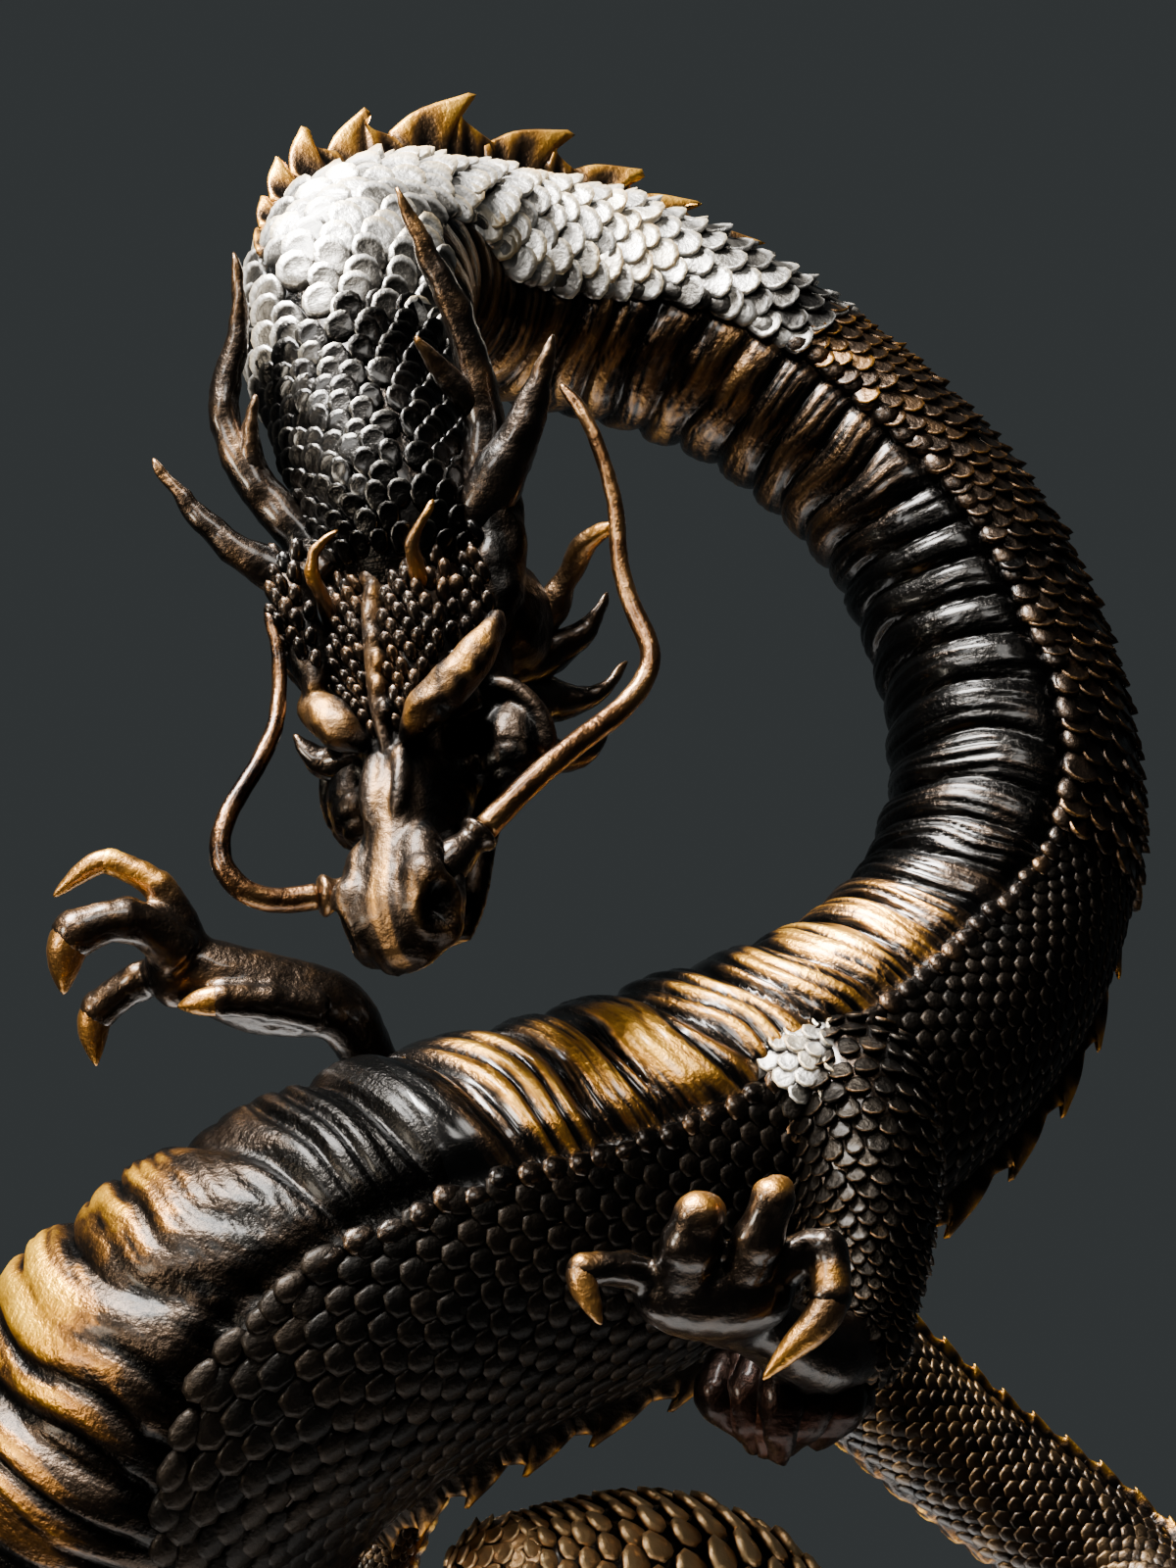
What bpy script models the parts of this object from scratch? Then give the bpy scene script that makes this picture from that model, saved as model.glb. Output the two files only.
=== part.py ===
"""A cast bronze dragon rearing in an S over a low round plinth, with two bent-rod whiskers.

The figure is one casting: a long body lofted along a spine, with belly plates and a crest,
a head with antlers, ears and cheek frills, four clawed legs and a tufted tail.
Metres, +Z up. The origin is the middle of the plinth's underside, and -Y is the front.
"""

import math

import bmesh
import bpy
import numpy as np
from mathutils import Vector

# Driving sizes, in metres.
FIGURE_HEIGHT = 0.315        # from the plinth's top to the tip of the tallest crest spike
PLINTH_RADIUS = 0.088
PLINTH_HEIGHT = 0.018
PLINTH_EDGE_ROUND = 0.0025   # quarter round on the plinth's top and foot
PLINTH_COVE_DEPTH = 0.004    # hollow turned into the plinth's side
SEAT_GAP = 0.0003            # clearance between the plinth and what stands on it
WHISKER_ROOT_RADIUS = 0.0019
WHISKER_TIP_RADIUS = 0.0009
WHISKER_GAP = 0.0003         # clearance between a whisker's end and its boss on the lip
BOSS_LENGTH = 0.0022         # how far a boss stands out along the whisker

# The figure's points are in shares of its height: one unit is 1/315 of it, a millimetre here.
HEIGHT_UNITS = 315.0
UNIT = FIGURE_HEIGHT / HEIGHT_UNITS

# The body's rings stand by turns at a crest spike's tip and between two spikes.
RING_STEP = 7.5              # units between rings
PLATE_RISE = 0.045           # how far a belly plate's edge stands out, as a share of the radius
BELLY_HALF_ANGLE = 80.0      # degrees either side of the belly's middle
CREST_HALF_ANGLE = 9.0       # degrees either side of the back, where a crest spike's foot ends
SIDE_ANGLES = (CREST_HALF_ANGLE, 38.0, 68.0, 94.0)   # degrees from the back to a ring's side corners
SPIKE_LEAN = 0.6             # how far a spike leans towards the tail, as a share of its height

# Along the spine, from the nape to the tail: the place, the radius,
# the way the back faces, and how high the crest stands.
SPINE = (
    ((-27, -49, 231), 7.0, (0.10, -0.95, 0.25), 0.5),
    ((-27, -47, 240), 10.8, (0.20, -0.95, 0.25), 1.0),
    ((-29, -42, 248), 12.6, (0.25, -0.93, 0.27), 2.0),
    ((-32, -30, 260), 14.2, (-0.10, -0.95, 0.30), 2.5),
    ((-35, -16, 275), 16.8, (-0.62, -0.72, 0.25), 3.0),
    ((-35, 2, 286), 17.1, (-0.85, -0.20, 0.45), 4.5),
    ((-28, 22, 291), 17.7, (-0.35, -0.05, 0.94), 7.5),
    ((-14, 34, 290), 18.1, (0.04, 0.16, 0.99), 10.5),
    ((1, 40, 287), 18.4, (0.17, 0.30, 0.94), 7.5),
    ((17, 41, 282), 17.5, (0.37, 0.43, 0.82), 4.0),
    ((33, 40, 273), 16.8, (0.56, 0.49, 0.67), 3.8),
    ((48, 36, 260), 17.0, (0.72, 0.47, 0.51), 3.8),
    ((61, 30, 242), 17.9, (0.83, 0.48, 0.28), 3.8),
    ((67, 22, 224), 18.6, (0.88, 0.48, -0.02), 3.8),
    ((69, 14, 207), 19.7, (0.84, 0.48, -0.27), 4.0),
    ((65, 6, 188), 21.0, (0.83, 0.28, -0.48), 4.5),
    ((56, -3, 174), 22.0, (0.75, -0.03, -0.66), 5.0),
    ((42, -12, 163), 23.9, (0.57, -0.13, -0.81), 5.5),
    ((22, -20, 153), 26.2, (0.43, -0.06, -0.90), 5.5),
    ((1, -27, 144), 28.5, (0.39, -0.08, -0.92), 5.5),
    ((-18, -33, 138), 29.8, (0.35, -0.13, -0.93), 5.5),
    ((-36, -38, 131), 31.0, (0.44, -0.09, -0.90), 5.5),
    ((-52, -40, 121), 32.2, (0.66, 0.07, -0.75), 4.5),
    ((-65, -37, 106), 32.5, (0.86, 0.30, -0.40), 3.0),
    ((-72, -29, 87), 32.5, (0.86, 0.50, 0.10), 2.5),
    ((-67, -16, 66), 32.5, (0.80, 0.40, 0.45), 2.5),
    ((-47, -5, 46), 32.0, (0.50, 0.10, 0.86), 3.0),
    ((-16, 3, 32.8), 31.2, (0.10, 0.00, 1.00), 4.0),
    ((22, 8, 35), 28.5, (-0.20, 0.00, 0.98), 5.0),
    ((50, 14, 44), 24.5, (-0.20, 0.00, 0.98), 5.0),
    ((76, 26, 50), 20.0, (0.00, 0.00, 1.00), 4.5),
    ((97, 48, 50), 16.3, (0.15, -0.05, 0.98), 3.5),
    ((104, 70, 53), 13.8, (0.30, -0.10, 0.95), 3.0),
    ((97, 85, 62), 12.7, (0.50, -0.10, 0.85), 2.5),
    ((81, 88, 75), 12.4, (0.58, -0.12, 0.80), 2.5),
    ((64, 86, 88), 12.2, (0.58, -0.12, 0.80), 2.5),
    ((49, 80, 101), 12.0, (0.50, -0.05, 0.86), 3.0),
    ((27, 69, 114), 11.3, (0.22, 0.10, 0.97), 4.0),
    ((2, 58, 117), 10.2, (-0.15, 0.15, 0.97), 4.0),
    ((-19, 50, 108), 9.0, (-0.70, 0.15, 0.70), 4.0),
    ((-30, 45, 90), 7.6, (-0.95, 0.15, 0.25), 4.0),
    ((-36, 42, 70), 5.0, (-0.97, 0.10, 0.18), 3.0),
    ((-38, 41, 56), 2.5, (-0.97, 0.10, 0.18), 1.0),
)

# The head has its own axes: across, towards the nose, and up out of the brow.
HEAD_PLACE = (-25.1, -45.0, 232.6)
HEAD_FORWARD = (-0.02, -0.60, -0.80)
HEAD_UP = (-0.50, -0.69, 0.52)

# The skull and upper jaw, from back to front: distance forward, half width on top,
# half width at the side, and the heights of the top and of the floor.
SKULL_SECTIONS = (
    (-24.0, 1.5, 5.0, 1.0, -4.0),
    (-16.0, 4.0, 9.5, 5.5, -7.0),
    (-7.0, 7.0, 13.0, 9.0, -9.0),
    (4.0, 8.0, 15.0, 10.8, -10.0),
    (14.0, 7.5, 14.5, 9.6, -10.0),
    (22.0, 5.0, 12.5, 7.0, -10.0),
    (28.0, 3.6, 10.0, 4.8, -9.5),
    (34.0, 3.6, 8.2, 5.6, -9.0),
    (46.0, 2.8, 8.2, 4.8, -8.5),
    (51.0, 4.2, 9.0, 4.9, -8.0),
    (56.0, 5.8, 9.2, 4.8, -7.2),
    (59.5, 4.4, 7.4, 3.0, -6.0),
    (62.5, 2.0, 3.8, 0.0, -4.0),
)
# The lower jaw, which hangs a little open, given the same way.
JAW_SECTIONS = (
    (2.0, 6.0, 9.5, -8.0, -15.0),
    (12.0, 7.0, 10.5, -8.5, -16.5),
    (24.0, 6.5, 9.5, -9.8, -16.5),
    (36.0, 4.5, 6.5, -11.5, -16.0),
    (46.0, 3.5, 5.2, -12.5, -16.0),
    (51.0, 2.0, 3.0, -13.0, -15.5),
)


def unit_vector(vector):
    vector = np.asarray(vector, float)
    return vector / np.linalg.norm(vector)


def head_axes():
    """The head's across, forward and up directions, square to each other."""
    forward = unit_vector(HEAD_FORWARD)
    across = unit_vector(np.cross(HEAD_UP, forward))
    return across, forward, np.cross(forward, across)


def head_point(across, forward, up):
    """A point of the head, given along its own axes, in the figure's units."""
    return np.array(HEAD_PLACE) + np.array((across, forward, up)) @ np.array(head_axes())


def place(point):
    """A point of the figure in metres, standing on the plinth."""
    x, y, z = (float(value) * UNIT for value in point)
    return Vector((x, y, z + PLINTH_HEIGHT + SEAT_GAP))


def smooth_rows(rows, count):
    """Rows evenly spaced along a natural cubic spline through the given ones.

    The first three columns are a place, and the distance between places spaces the rest.
    """
    rows = np.asarray(rows, float)
    gaps = np.linalg.norm(np.diff(rows[:, :3], axis=0), axis=1)
    knots = np.concatenate([[0.0], np.cumsum(gaps)])
    size = len(rows)
    matrix = np.eye(size)
    right = np.zeros_like(rows)
    for i in range(1, size - 1):
        matrix[i, i - 1:i + 2] = gaps[i - 1], 2 * (gaps[i - 1] + gaps[i]), gaps[i]
        slopes = (rows[i + 1] - rows[i]) / gaps[i] - (rows[i] - rows[i - 1]) / gaps[i - 1]
        right[i] = 6 * slopes
    bends = np.linalg.solve(matrix, right)

    def at(where):
        where = np.asarray(where, float)
        i = np.clip(np.searchsorted(knots, where) - 1, 0, size - 2)
        gap = gaps[i][:, None]
        before = (where - knots[i])[:, None]
        after = gap - before
        return (
            (bends[i] * after ** 3 + bends[i + 1] * before ** 3) / (6 * gap)
            + (rows[i] / gap - bends[i] * gap / 6) * after
            + (rows[i + 1] / gap - bends[i + 1] * gap / 6) * before
        )

    fine_knots = np.linspace(0.0, knots[-1], 40 * size)
    fine = at(fine_knots)
    lengths = np.linalg.norm(np.diff(fine[:, :3], axis=0), axis=1)
    travelled = np.concatenate([[0.0], np.cumsum(lengths)])
    return at(np.interp(np.linspace(0.0, travelled[-1], count), travelled, fine_knots))


def line_length(points):
    points = np.asarray(points, float)[:, :3]
    return float(np.linalg.norm(np.diff(points, axis=0), axis=1).sum())


def new_collection(name):
    collection = bpy.data.collections.new(name)
    bpy.context.scene.collection.children.link(collection)
    return collection


def bronze(name, colour, roughness, metallic):
    material = bpy.data.materials.new(name)
    material.use_nodes = True
    shader = material.node_tree.nodes["Principled BSDF"]
    shader.inputs["Base Color"].default_value = (*colour, 1.0)
    shader.inputs["Roughness"].default_value = roughness
    shader.inputs["Metallic"].default_value = metallic
    return material


def add_mesh(name, mesh, collection, material=None):
    obj = bpy.data.objects.new(name, mesh)
    collection.objects.link(obj)
    if material:
        mesh.materials.append(material)
    return obj


def loft(name, rings, collection):
    """A closed mesh through rings of equally many points, capped at both ends."""
    shape = bmesh.new()
    loops = [[shape.verts.new(place(point)) for point in ring] for ring in rings]
    for first, second in zip(loops, loops[1:]):
        for i in range(len(first)):
            j = (i + 1) % len(first)
            shape.faces.new((first[i], first[j], second[j], second[i]))
    shape.faces.new(loops[0][::-1])
    shape.faces.new(loops[-1])
    bmesh.ops.recalc_face_normals(shape, faces=shape.faces)
    mesh = bpy.data.meshes.new(name)
    shape.to_mesh(mesh)
    shape.free()
    return add_mesh(name, mesh, collection)


def rod(name, points, radii, collection, sides=8, steps=None):
    """A round rod on a smooth line, as thick at each given point as its radius says."""
    rows = [(*point, radius) for point, radius in zip(points, radii)]
    rows = smooth_rows(rows, steps or 3 * len(rows) - 2)
    curve = bpy.data.curves.new(name, "CURVE")
    curve.dimensions = "3D"
    curve.bevel_mode = "ROUND"
    curve.bevel_depth = UNIT
    curve.bevel_resolution = sides // 2 - 2
    curve.use_fill_caps = True
    spline = curve.splines.new("POLY")
    spline.points.add(len(rows) - 1)
    for spot, row in zip(spline.points, rows):
        spot.co = (*place(row[:3]), 1.0)
        spot.radius = max(float(row[3]), min(radii))
    obj = bpy.data.objects.new(name, curve)
    collection.objects.link(obj)
    return obj


def solid_from_curve(obj):
    """The same rod as a closed mesh, which a Boolean can join."""
    graph = bpy.context.evaluated_depsgraph_get()
    mesh = bpy.data.meshes.new_from_object(obj.evaluated_get(graph))
    shape = bmesh.new()
    shape.from_mesh(mesh)
    bmesh.ops.remove_doubles(shape, verts=shape.verts, dist=1e-6)
    bmesh.ops.recalc_face_normals(shape, faces=shape.faces)
    shape.to_mesh(mesh)
    shape.free()
    solid = bpy.data.objects.new(obj.name + "_solid", mesh)
    solid.matrix_world = obj.matrix_world
    for collection in obj.users_collection:
        collection.objects.link(solid)
    bpy.data.objects.remove(obj)
    return solid


def ball(name, centre, radii, collection, turn=None):
    """An ellipsoid; turn gives its three axes, or else it lies along X, Y and Z."""
    axes = np.eye(3) if turn is None else np.array(turn)
    shape = bmesh.new()
    bmesh.ops.create_uvsphere(shape, u_segments=8, v_segments=4, radius=1.0)
    for vert in shape.verts:
        vert.co = place(np.array(centre) + (np.array(vert.co) * radii) @ axes)
    mesh = bpy.data.meshes.new(name)
    shape.to_mesh(mesh)
    shape.free()
    return add_mesh(name, mesh, collection)


def spine_frames(count):
    """Along the spine: places, tangents, backs, sides, radii and crest heights."""
    rows = smooth_rows([(*spot, radius, *back, crest) for spot, radius, back, crest in SPINE], count)
    places = rows[:, :3]
    tangents = np.gradient(places, axis=0)
    tangents /= np.linalg.norm(tangents, axis=1)[:, None]
    backs = rows[:, 4:7] - (rows[:, 4:7] * tangents).sum(axis=1)[:, None] * tangents
    backs /= np.linalg.norm(backs, axis=1)[:, None]
    sides = np.cross(tangents, backs)
    return places, tangents, backs, sides, rows[:, 3], rows[:, 7]


def body_ring(at_spike, place_, tangent, back, side, radius, crest):
    """One ring of the body: the crest's tip, the flanks, and the belly's plate."""
    def at(degrees, share=1.0):
        angle = math.radians(degrees)
        return place_ + radius * share * (math.cos(angle) * back + math.sin(angle) * side)

    rise = crest if at_spike else 0.2 * crest
    lean = SPIKE_LEAN * crest if at_spike else 0.0
    plate = 1.0 + PLATE_RISE * (1 if at_spike else -1)
    belly = [at(180.0 + BELLY_HALF_ANGLE * share, plate) for share in (-1.0, -0.5, 0.0, 0.5, 1.0)]
    tip = place_ + (radius + rise) * back + lean * tangent
    return [tip, *(at(a) for a in SIDE_ANGLES), *belly, *(at(-a) for a in reversed(SIDE_ANGLES))]


def body(collection):
    count = round(line_length([row[0] for row in SPINE]) / RING_STEP)
    frames = spine_frames(count)
    rings = [body_ring(i % 2 == 1, *row) for i, row in enumerate(zip(*frames))]
    return loft("dragon", rings, collection)


def section_ring(forward, top_half, side_half, top, floor):
    """A ring across the head, narrower on top than at the side."""
    shoulder = floor + 0.68 * (top - floor)
    widest = floor + 0.33 * (top - floor)
    right = [
        (top_half, top),
        ((top_half + 1.6 * side_half) / 2.6, shoulder),
        (side_half, widest),
        (0.75 * side_half, floor),
    ]
    ring = [(0.0, top + 0.6), *right, (0.0, floor), *((-across, up) for across, up in right[::-1])]
    return [head_point(across, forward, up) for across, up in ring]


def head(collection):
    axes = head_axes()
    loft("skull", [section_ring(*section) for section in SKULL_SECTIONS], collection)
    loft("jaw", [section_ring(*section) for section in JAW_SECTIONS], collection)
    ball("jaw_root", head_point(0, 3, -9), (9.5, 8.0, 6.5), collection, axes)
    brow = ((3.0, 31.5, 5.4), (5.6, 28.5, 7.2), (8.4, 24.0, 8.4), (11.8, 19.0, 8.6), (15.2, 13.0, 7.4))
    for side in (-1, 1):
        name = "left" if side < 0 else "right"
        ball(f"nostril_{name}", head_point(6.2 * side, 54.8, 1.2), (4.0, 5.0, 4.4), collection, axes)
        ball(f"cheek_{name}", head_point(12.5 * side, 25, -8.5), (6.0, 8.5, 6.5), collection, axes)
        ball(f"jowl_{name}", head_point(11.5 * side, 2, -6), (6.5, 9.5, 9.0), collection, axes)
        ball(f"eye_{name}", head_point(9.4 * side, 22.5, 1.6), (3.4, 3.9, 3.3), collection, axes)
        points = [head_point(a * side, b, c) for a, b, c in brow]
        solid_from_curve(rod(f"brow_{name}", points, (1.3, 3.0, 3.7, 3.1, 1.4), collection, 6, 7))


def horns(collection):
    """Two antlers with their roots and a tine each, two ears, brow curls and the cheek's frill."""
    rods = {
        "root_left": (((-43.5, -46, 240), (-42.8, -50, 233), (-41.0, -54, 226), (-38.5, -58, 219)),
                      (2.4, 3.2, 3.4, 2.0)),
        "root_right": (((-12.7, -47, 251), (-13.2, -50, 241), (-15.0, -53, 232), (-18.0, -57, 226)),
                       (3.2, 4.4, 4.6, 3.0)),
        "antler_left": (((-37, -46, 237), (-44, -43, 245), (-51, -41, 254), (-54, -38, 264),
                         (-52, -36, 274), (-53, -35, 286)), (4.2, 3.4, 2.8, 2.3, 1.7, 0.5)),
        "antler_right": (((-20, -47, 240), (-15, -46, 254), (-16, -45, 264), (-19, -45, 275),
                          (-24, -45, 285), (-28, -46, 294)), (4.4, 3.6, 2.9, 2.4, 1.7, 0.5)),
        "tine_left": (((-48, -42, 250), (-50, -42, 258), (-49, -42, 264)), (2.2, 1.5, 0.5)),
        "tine_right": (((-17, -46, 262), (-22, -48, 268), (-25, -50, 272)), (2.2, 1.5, 0.5)),
        "ear_left": (((-40, -46, 236), (-50, -47, 240), (-57, -46, 246), (-64, -45, 254)),
                     (4.0, 2.8, 1.7, 0.5)),
        "ear_right": (((-20, -46, 238), (-13, -50, 251), (-8, -50, 262), (-5, -50, 272)),
                      (4.8, 4.0, 2.3, 0.5)),
        "curl_left": (((-36, -51, 228), (-38.5, -55, 234), (-39.5, -57, 239), (-36, -57, 243)),
                      (1.8, 1.3, 1.0, 0.4)),
        "curl_right": (((-22, -52, 230), (-24, -58, 236), (-25, -61, 241), (-22, -61, 247)),
                       (1.8, 1.3, 1.0, 0.4)),
        "stalk": (((-17, -45, 226), (-7, -42, 231), (-3.4, -42, 236.5), (-1, -43, 241),
                   (1.6, -45, 243.3)), (5.0, 3.2, 2.0, 1.7, 1.1)),
        "frill_1": (((-17, -46, 224), (-6, -41, 226), (0, -40, 230), (3, -39, 235)),
                    (6.0, 3.4, 1.6, 0.5)),
        "frill_2": (((-17, -47, 219), (-5, -39, 219), (1, -38, 220), (6, -36, 225)),
                    (6.0, 3.4, 1.7, 0.5)),
        "frill_3": (((-18, -48, 213), (-7, -39, 211), (-1, -37, 211), (3, -35, 214)),
                    (6.0, 3.4, 1.7, 0.5)),
        "frill_4": (((-32, -45, 222), (-40, -43, 222), (-46, -41, 226)), (5.5, 3.0, 0.5)),
        "frill_5": (((-33, -48, 211), (-39, -48, 210), (-43, -47, 214)), (4.5, 2.4, 0.5)),
    }
    for name, (points, radii) in rods.items():
        solid_from_curve(rod(name, points, radii, collection, 6, len(points) + 1))


def limb(name, points, radii, collection):
    return solid_from_curve(rod(name, points, radii, collection, 8, 2 * len(points)))


def toes(name, lines, collection):
    """Each toe is a line of points with the radius at each, from the palm to the claw's tip."""
    for i, (points, radii) in enumerate(lines, 1):
        solid_from_curve(rod(f"{name}_toe_{i}", points, radii, collection, 6, 5))


def front_legs(collection):
    """The near leg hangs from the chest with its paw turned up; the far one reaches forward."""
    limb("near_arm", ((36, -22, 164), (39, -34, 160), (41, -44, 144), (39, -51, 126)),
         (11.0, 11.5, 10.0, 6.8), collection)
    limb("near_forearm", ((40, -48, 128), (33, -58, 125), (25, -66, 130), (17, -73, 134)),
         (6.8, 6.2, 5.2, 5.5), collection)
    ball("near_elbow", (39.5, -50, 127), (7.6, 7.6, 8.0), collection)
    ball("near_shoulder", (33, -33, 159), (13.5, 12.5, 12.5), collection)
    ball("near_palm", (17.5, -74.5, 135.5), (11.5, 6.0, 6.5), collection)
    toes("near", (
        (((12, -74, 136), (5, -77, 139.5), (-0.5, -79, 139.5), (1.8, -82, 132.5)), (3.6, 2.5, 2.5, 0.6)),
        (((14, -75, 135), (14, -79, 143), (15.2, -80, 147), (19, -77, 147.5)), (4.2, 3.9, 3.5, 0.6)),
        (((20, -75, 136), (23.5, -79, 144), (25.5, -80, 149.5), (27.5, -77, 151)), (3.8, 3.4, 3.0, 0.6)),
        (((24, -74, 137), (33, -76, 142), (33.5, -79, 136), (24, -82, 125)), (3.6, 2.9, 2.9, 0.6)),
    ), collection)
    limb("near_tuft", ((36, -52, 126), (31, -52, 119), (26, -54, 109)), (8.0, 6.5, 0.8), collection)
    limb("far_arm", ((12, 2, 150), (-8, 10, 150), (-25, 10, 152)), (9.0, 8.0, 6.5), collection)
    limb("far_forearm", ((-24, 9, 150), (-34, 6, 161), (-40, 2, 171), (-48, 0, 173), (-56, -1, 175),
                         (-64, -2, 179)), (6.5, 4.4, 5.4, 6.4, 6.4, 4.8), collection)
    toes("far", (
        (((-63, -3, 181), (-67.5, -4, 190.5), (-75, -4, 194.5), (-84, -4, 189)), (3.6, 2.5, 2.1, 0.5)),
        (((-64, -5, 180), (-72, -9, 185.5), (-79.5, -11, 183.5), (-81.5, -11, 174)), (4.4, 3.4, 3.7, 0.5)),
        (((-62, -1, 177), (-71, 1, 175.5), (-77.5, 2, 171), (-78, 2, 162)), (4.2, 3.0, 3.0, 0.5)),
        (((-42, -4, 171), (-50, -7, 172.5), (-57, -9, 173), (-64, -9, 172)), (3.6, 2.8, 2.6, 0.5)),
    ), collection)


def hind_leg(name, hip, thigh, knee, ankle, heel, away, collection):
    """A leg that stands on the plinth; away is the way its outer side faces, along Y."""
    limb(f"{name}_thigh", (hip, thigh, knee), (15.0, 18.0, 9.5), collection)
    ball(f"{name}_knee", knee, (9.5, 9.0, 9.5), collection)
    heel = np.array(heel, float)
    limb(f"{name}_shank", (knee, ankle, heel - (0, 0, 4)), (8.0, 5.5, 5.0), collection)
    ball(f"{name}_foot", heel + (-7, 0.6 * away, -3.5), (10.0, 7.0, 4.5), collection)
    spread = (-0.55, 0.0, 0.55)
    lines = []
    for turn in spread:
        way = np.array((-math.cos(turn), math.sin(turn), 0.0))
        start = heel + (-8, 3.5 * turn, -1)
        lines.append((start, start + way * 9 + (0, 0, 2.0), start + way * 15 - (0, 0, 2.5),
                      start + way * 19 - (0, 0, 6.2)))
    back = heel + (2, 4 * away, 0)
    lines.append((back, back + (5, 3 * away, 1), back + (9, 5 * away, -2), back + (12, 6 * away, -7.2)))
    radii = (3.6, 3.1, 2.5, 0.8)
    toes(name, [(line, radii) for line in lines], collection)


def legs(collection):
    front_legs(collection)
    hind_leg("near_hind", (34, 2, 48), (12, -26, 80), (-12, -38, 88), (6, -42, 40),
             (1, -45, 8.0), -1, collection)
    hind_leg("far_hind", (37, 14, 43), (15, 33, 61), (-8, 44, 67), (10, 48, 37),
             (3, 52, 8.0), 1, collection)


def tail_tuft(collection):
    """The flame of hair at the tail's end."""
    strands = (((-36, 42, 72), (-40, 42, 56), (-36, 42, 42), (-41, 42, 30)),
               ((-36, 42, 78), (-46, 40, 66), (-48, 40, 54), (-54, 40, 46)),
               ((-35, 42, 74), (-28, 44, 62), (-28, 44, 50), (-23, 44, 42)))
    for i, points in enumerate(strands, 1):
        solid_from_curve(rod(f"tuft_{i}", points, (3.5, 4.5, 3.0, 0.6), collection, 6, 6))


WHISKERS = {
    "whisker_left": ((-37.8, -72.5, 191), (-43, -74, 190.5), (-48, -75, 192), (-51, -74, 196),
                     (-50.6, -71, 202), (-47.5, -67, 208), (-44.8, -63, 214), (-44.2, -59, 220),
                     (-44.8, -56, 227), (-46.5, -54, 232)),
    "whisker_right": ((-14.6, -71.3, 200.4), (-8.3, -68, 206.7), (0, -62, 213.7), (7, -57, 220),
                      (9.0, -55, 224.5), (7.1, -52, 230.9), (4.6, -49, 239.5), (4.0, -47, 246.8),
                      (1.7, -45, 255.6), (-1.4, -43, 262.3), (-4.0, -42, 265.5)),
}


def whisker(name, points, collection, material):
    """A bent tapering rod. It starts a gap away from the flat end of its boss on the lip."""
    points = np.array(points, float)
    way = unit_vector(points[1] - points[0])
    points[0] = points[0] + way * WHISKER_GAP / UNIT
    radii = np.linspace(WHISKER_ROOT_RADIUS, WHISKER_TIP_RADIUS, len(points)) / UNIT
    obj = rod(name, points, radii, collection, 6, 3 * len(points) // 2)
    obj.data.materials.append(material)
    return obj


def whisker_boss(name, points, collection):
    """The stub on the lip that a whisker's end meets, face to face."""
    start = np.array(points[0], float)
    way = unit_vector(np.array(points[1], float) - start)
    length = BOSS_LENGTH / UNIT
    radius = 1.25 * WHISKER_ROOT_RADIUS / UNIT
    line = (start - way * 3 * length, start - way * length, start)
    return solid_from_curve(rod(f"{name}_boss", line, (radius,) * 3, collection, 8, 3))


def plinth(collection, material):
    """A low turned disc: flat on top and below, with a shallow cove between rounded edges."""
    corner, cove = PLINTH_EDGE_ROUND, PLINTH_COVE_DEPTH
    turns = [math.radians(a) for a in (90, 45, 0)]
    top = [(PLINTH_RADIUS - corner + corner * math.cos(a), PLINTH_HEIGHT - corner + corner * math.sin(a))
           for a in turns]
    hollow_top, hollow_foot = PLINTH_HEIGHT - 2 * corner, 2 * corner
    middle = (hollow_top + hollow_foot) / 2
    half = (hollow_top - hollow_foot) / 2
    hollow = [(PLINTH_RADIUS - cove * math.cos(a), middle + half * math.sin(a))
              for a in (math.radians(d) for d in (75, 30, -30, -75))]
    foot = [(radius, PLINTH_HEIGHT - height) for radius, height in top[::-1]]
    outline = [(0.0, PLINTH_HEIGHT), *top, *hollow, *foot, (0.0, 0.0)]
    mesh = bpy.data.meshes.new("plinth")
    mesh.from_pydata([(radius, 0.0, height) for radius, height in outline],
                     [(i, i + 1) for i in range(len(outline) - 1)], [])
    obj = add_mesh("plinth", mesh, collection, material)
    screw = obj.modifiers.new("turned", "SCREW")
    screw.axis = "Z"
    screw.angle = math.tau
    screw.steps = screw.render_steps = 24
    screw.use_merge_vertices = True
    screw.merge_threshold = 0.00001
    return obj


def main():
    for obj in list(bpy.data.objects):
        bpy.data.objects.remove(obj)
    shown = new_collection("dragon_sculpture")
    joined = new_collection("joined_forms")
    patina = bronze("patinated_bronze", (0.09, 0.055, 0.03), 0.32, 1.0)
    copper = bronze("whisker_bronze", (0.16, 0.07, 0.035), 0.3, 1.0)
    dark = bronze("plinth_bronze", (0.035, 0.028, 0.022), 0.4, 1.0)

    dragon = body(shown)
    dragon.data.materials.append(patina)
    head(joined)
    horns(joined)
    legs(joined)
    tail_tuft(joined)
    for name, points in WHISKERS.items():
        whisker(name, points, shown, copper)
        whisker_boss(name, points, joined)
    plinth(shown, dark)

    for obj in joined.objects:
        obj.hide_render = True
        obj.display_type = "WIRE"
    union = dragon.modifiers.new("cast_as_one", "BOOLEAN")
    union.operation = "UNION"
    union.operand_type = "COLLECTION"
    union.collection = joined
    union.solver = "EXACT"


main()
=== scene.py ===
"""A cast bronze dragon on its plinth: belly plates, scales, crest, head, legs and whiskers.

The figure's points are in millimetres over the plinth's top, +Z up, and -Y is the front.
"""

import math

import bmesh
import bpy
import numpy as np
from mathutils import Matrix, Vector, noise
from mathutils.bvhtree import BVHTree


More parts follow.
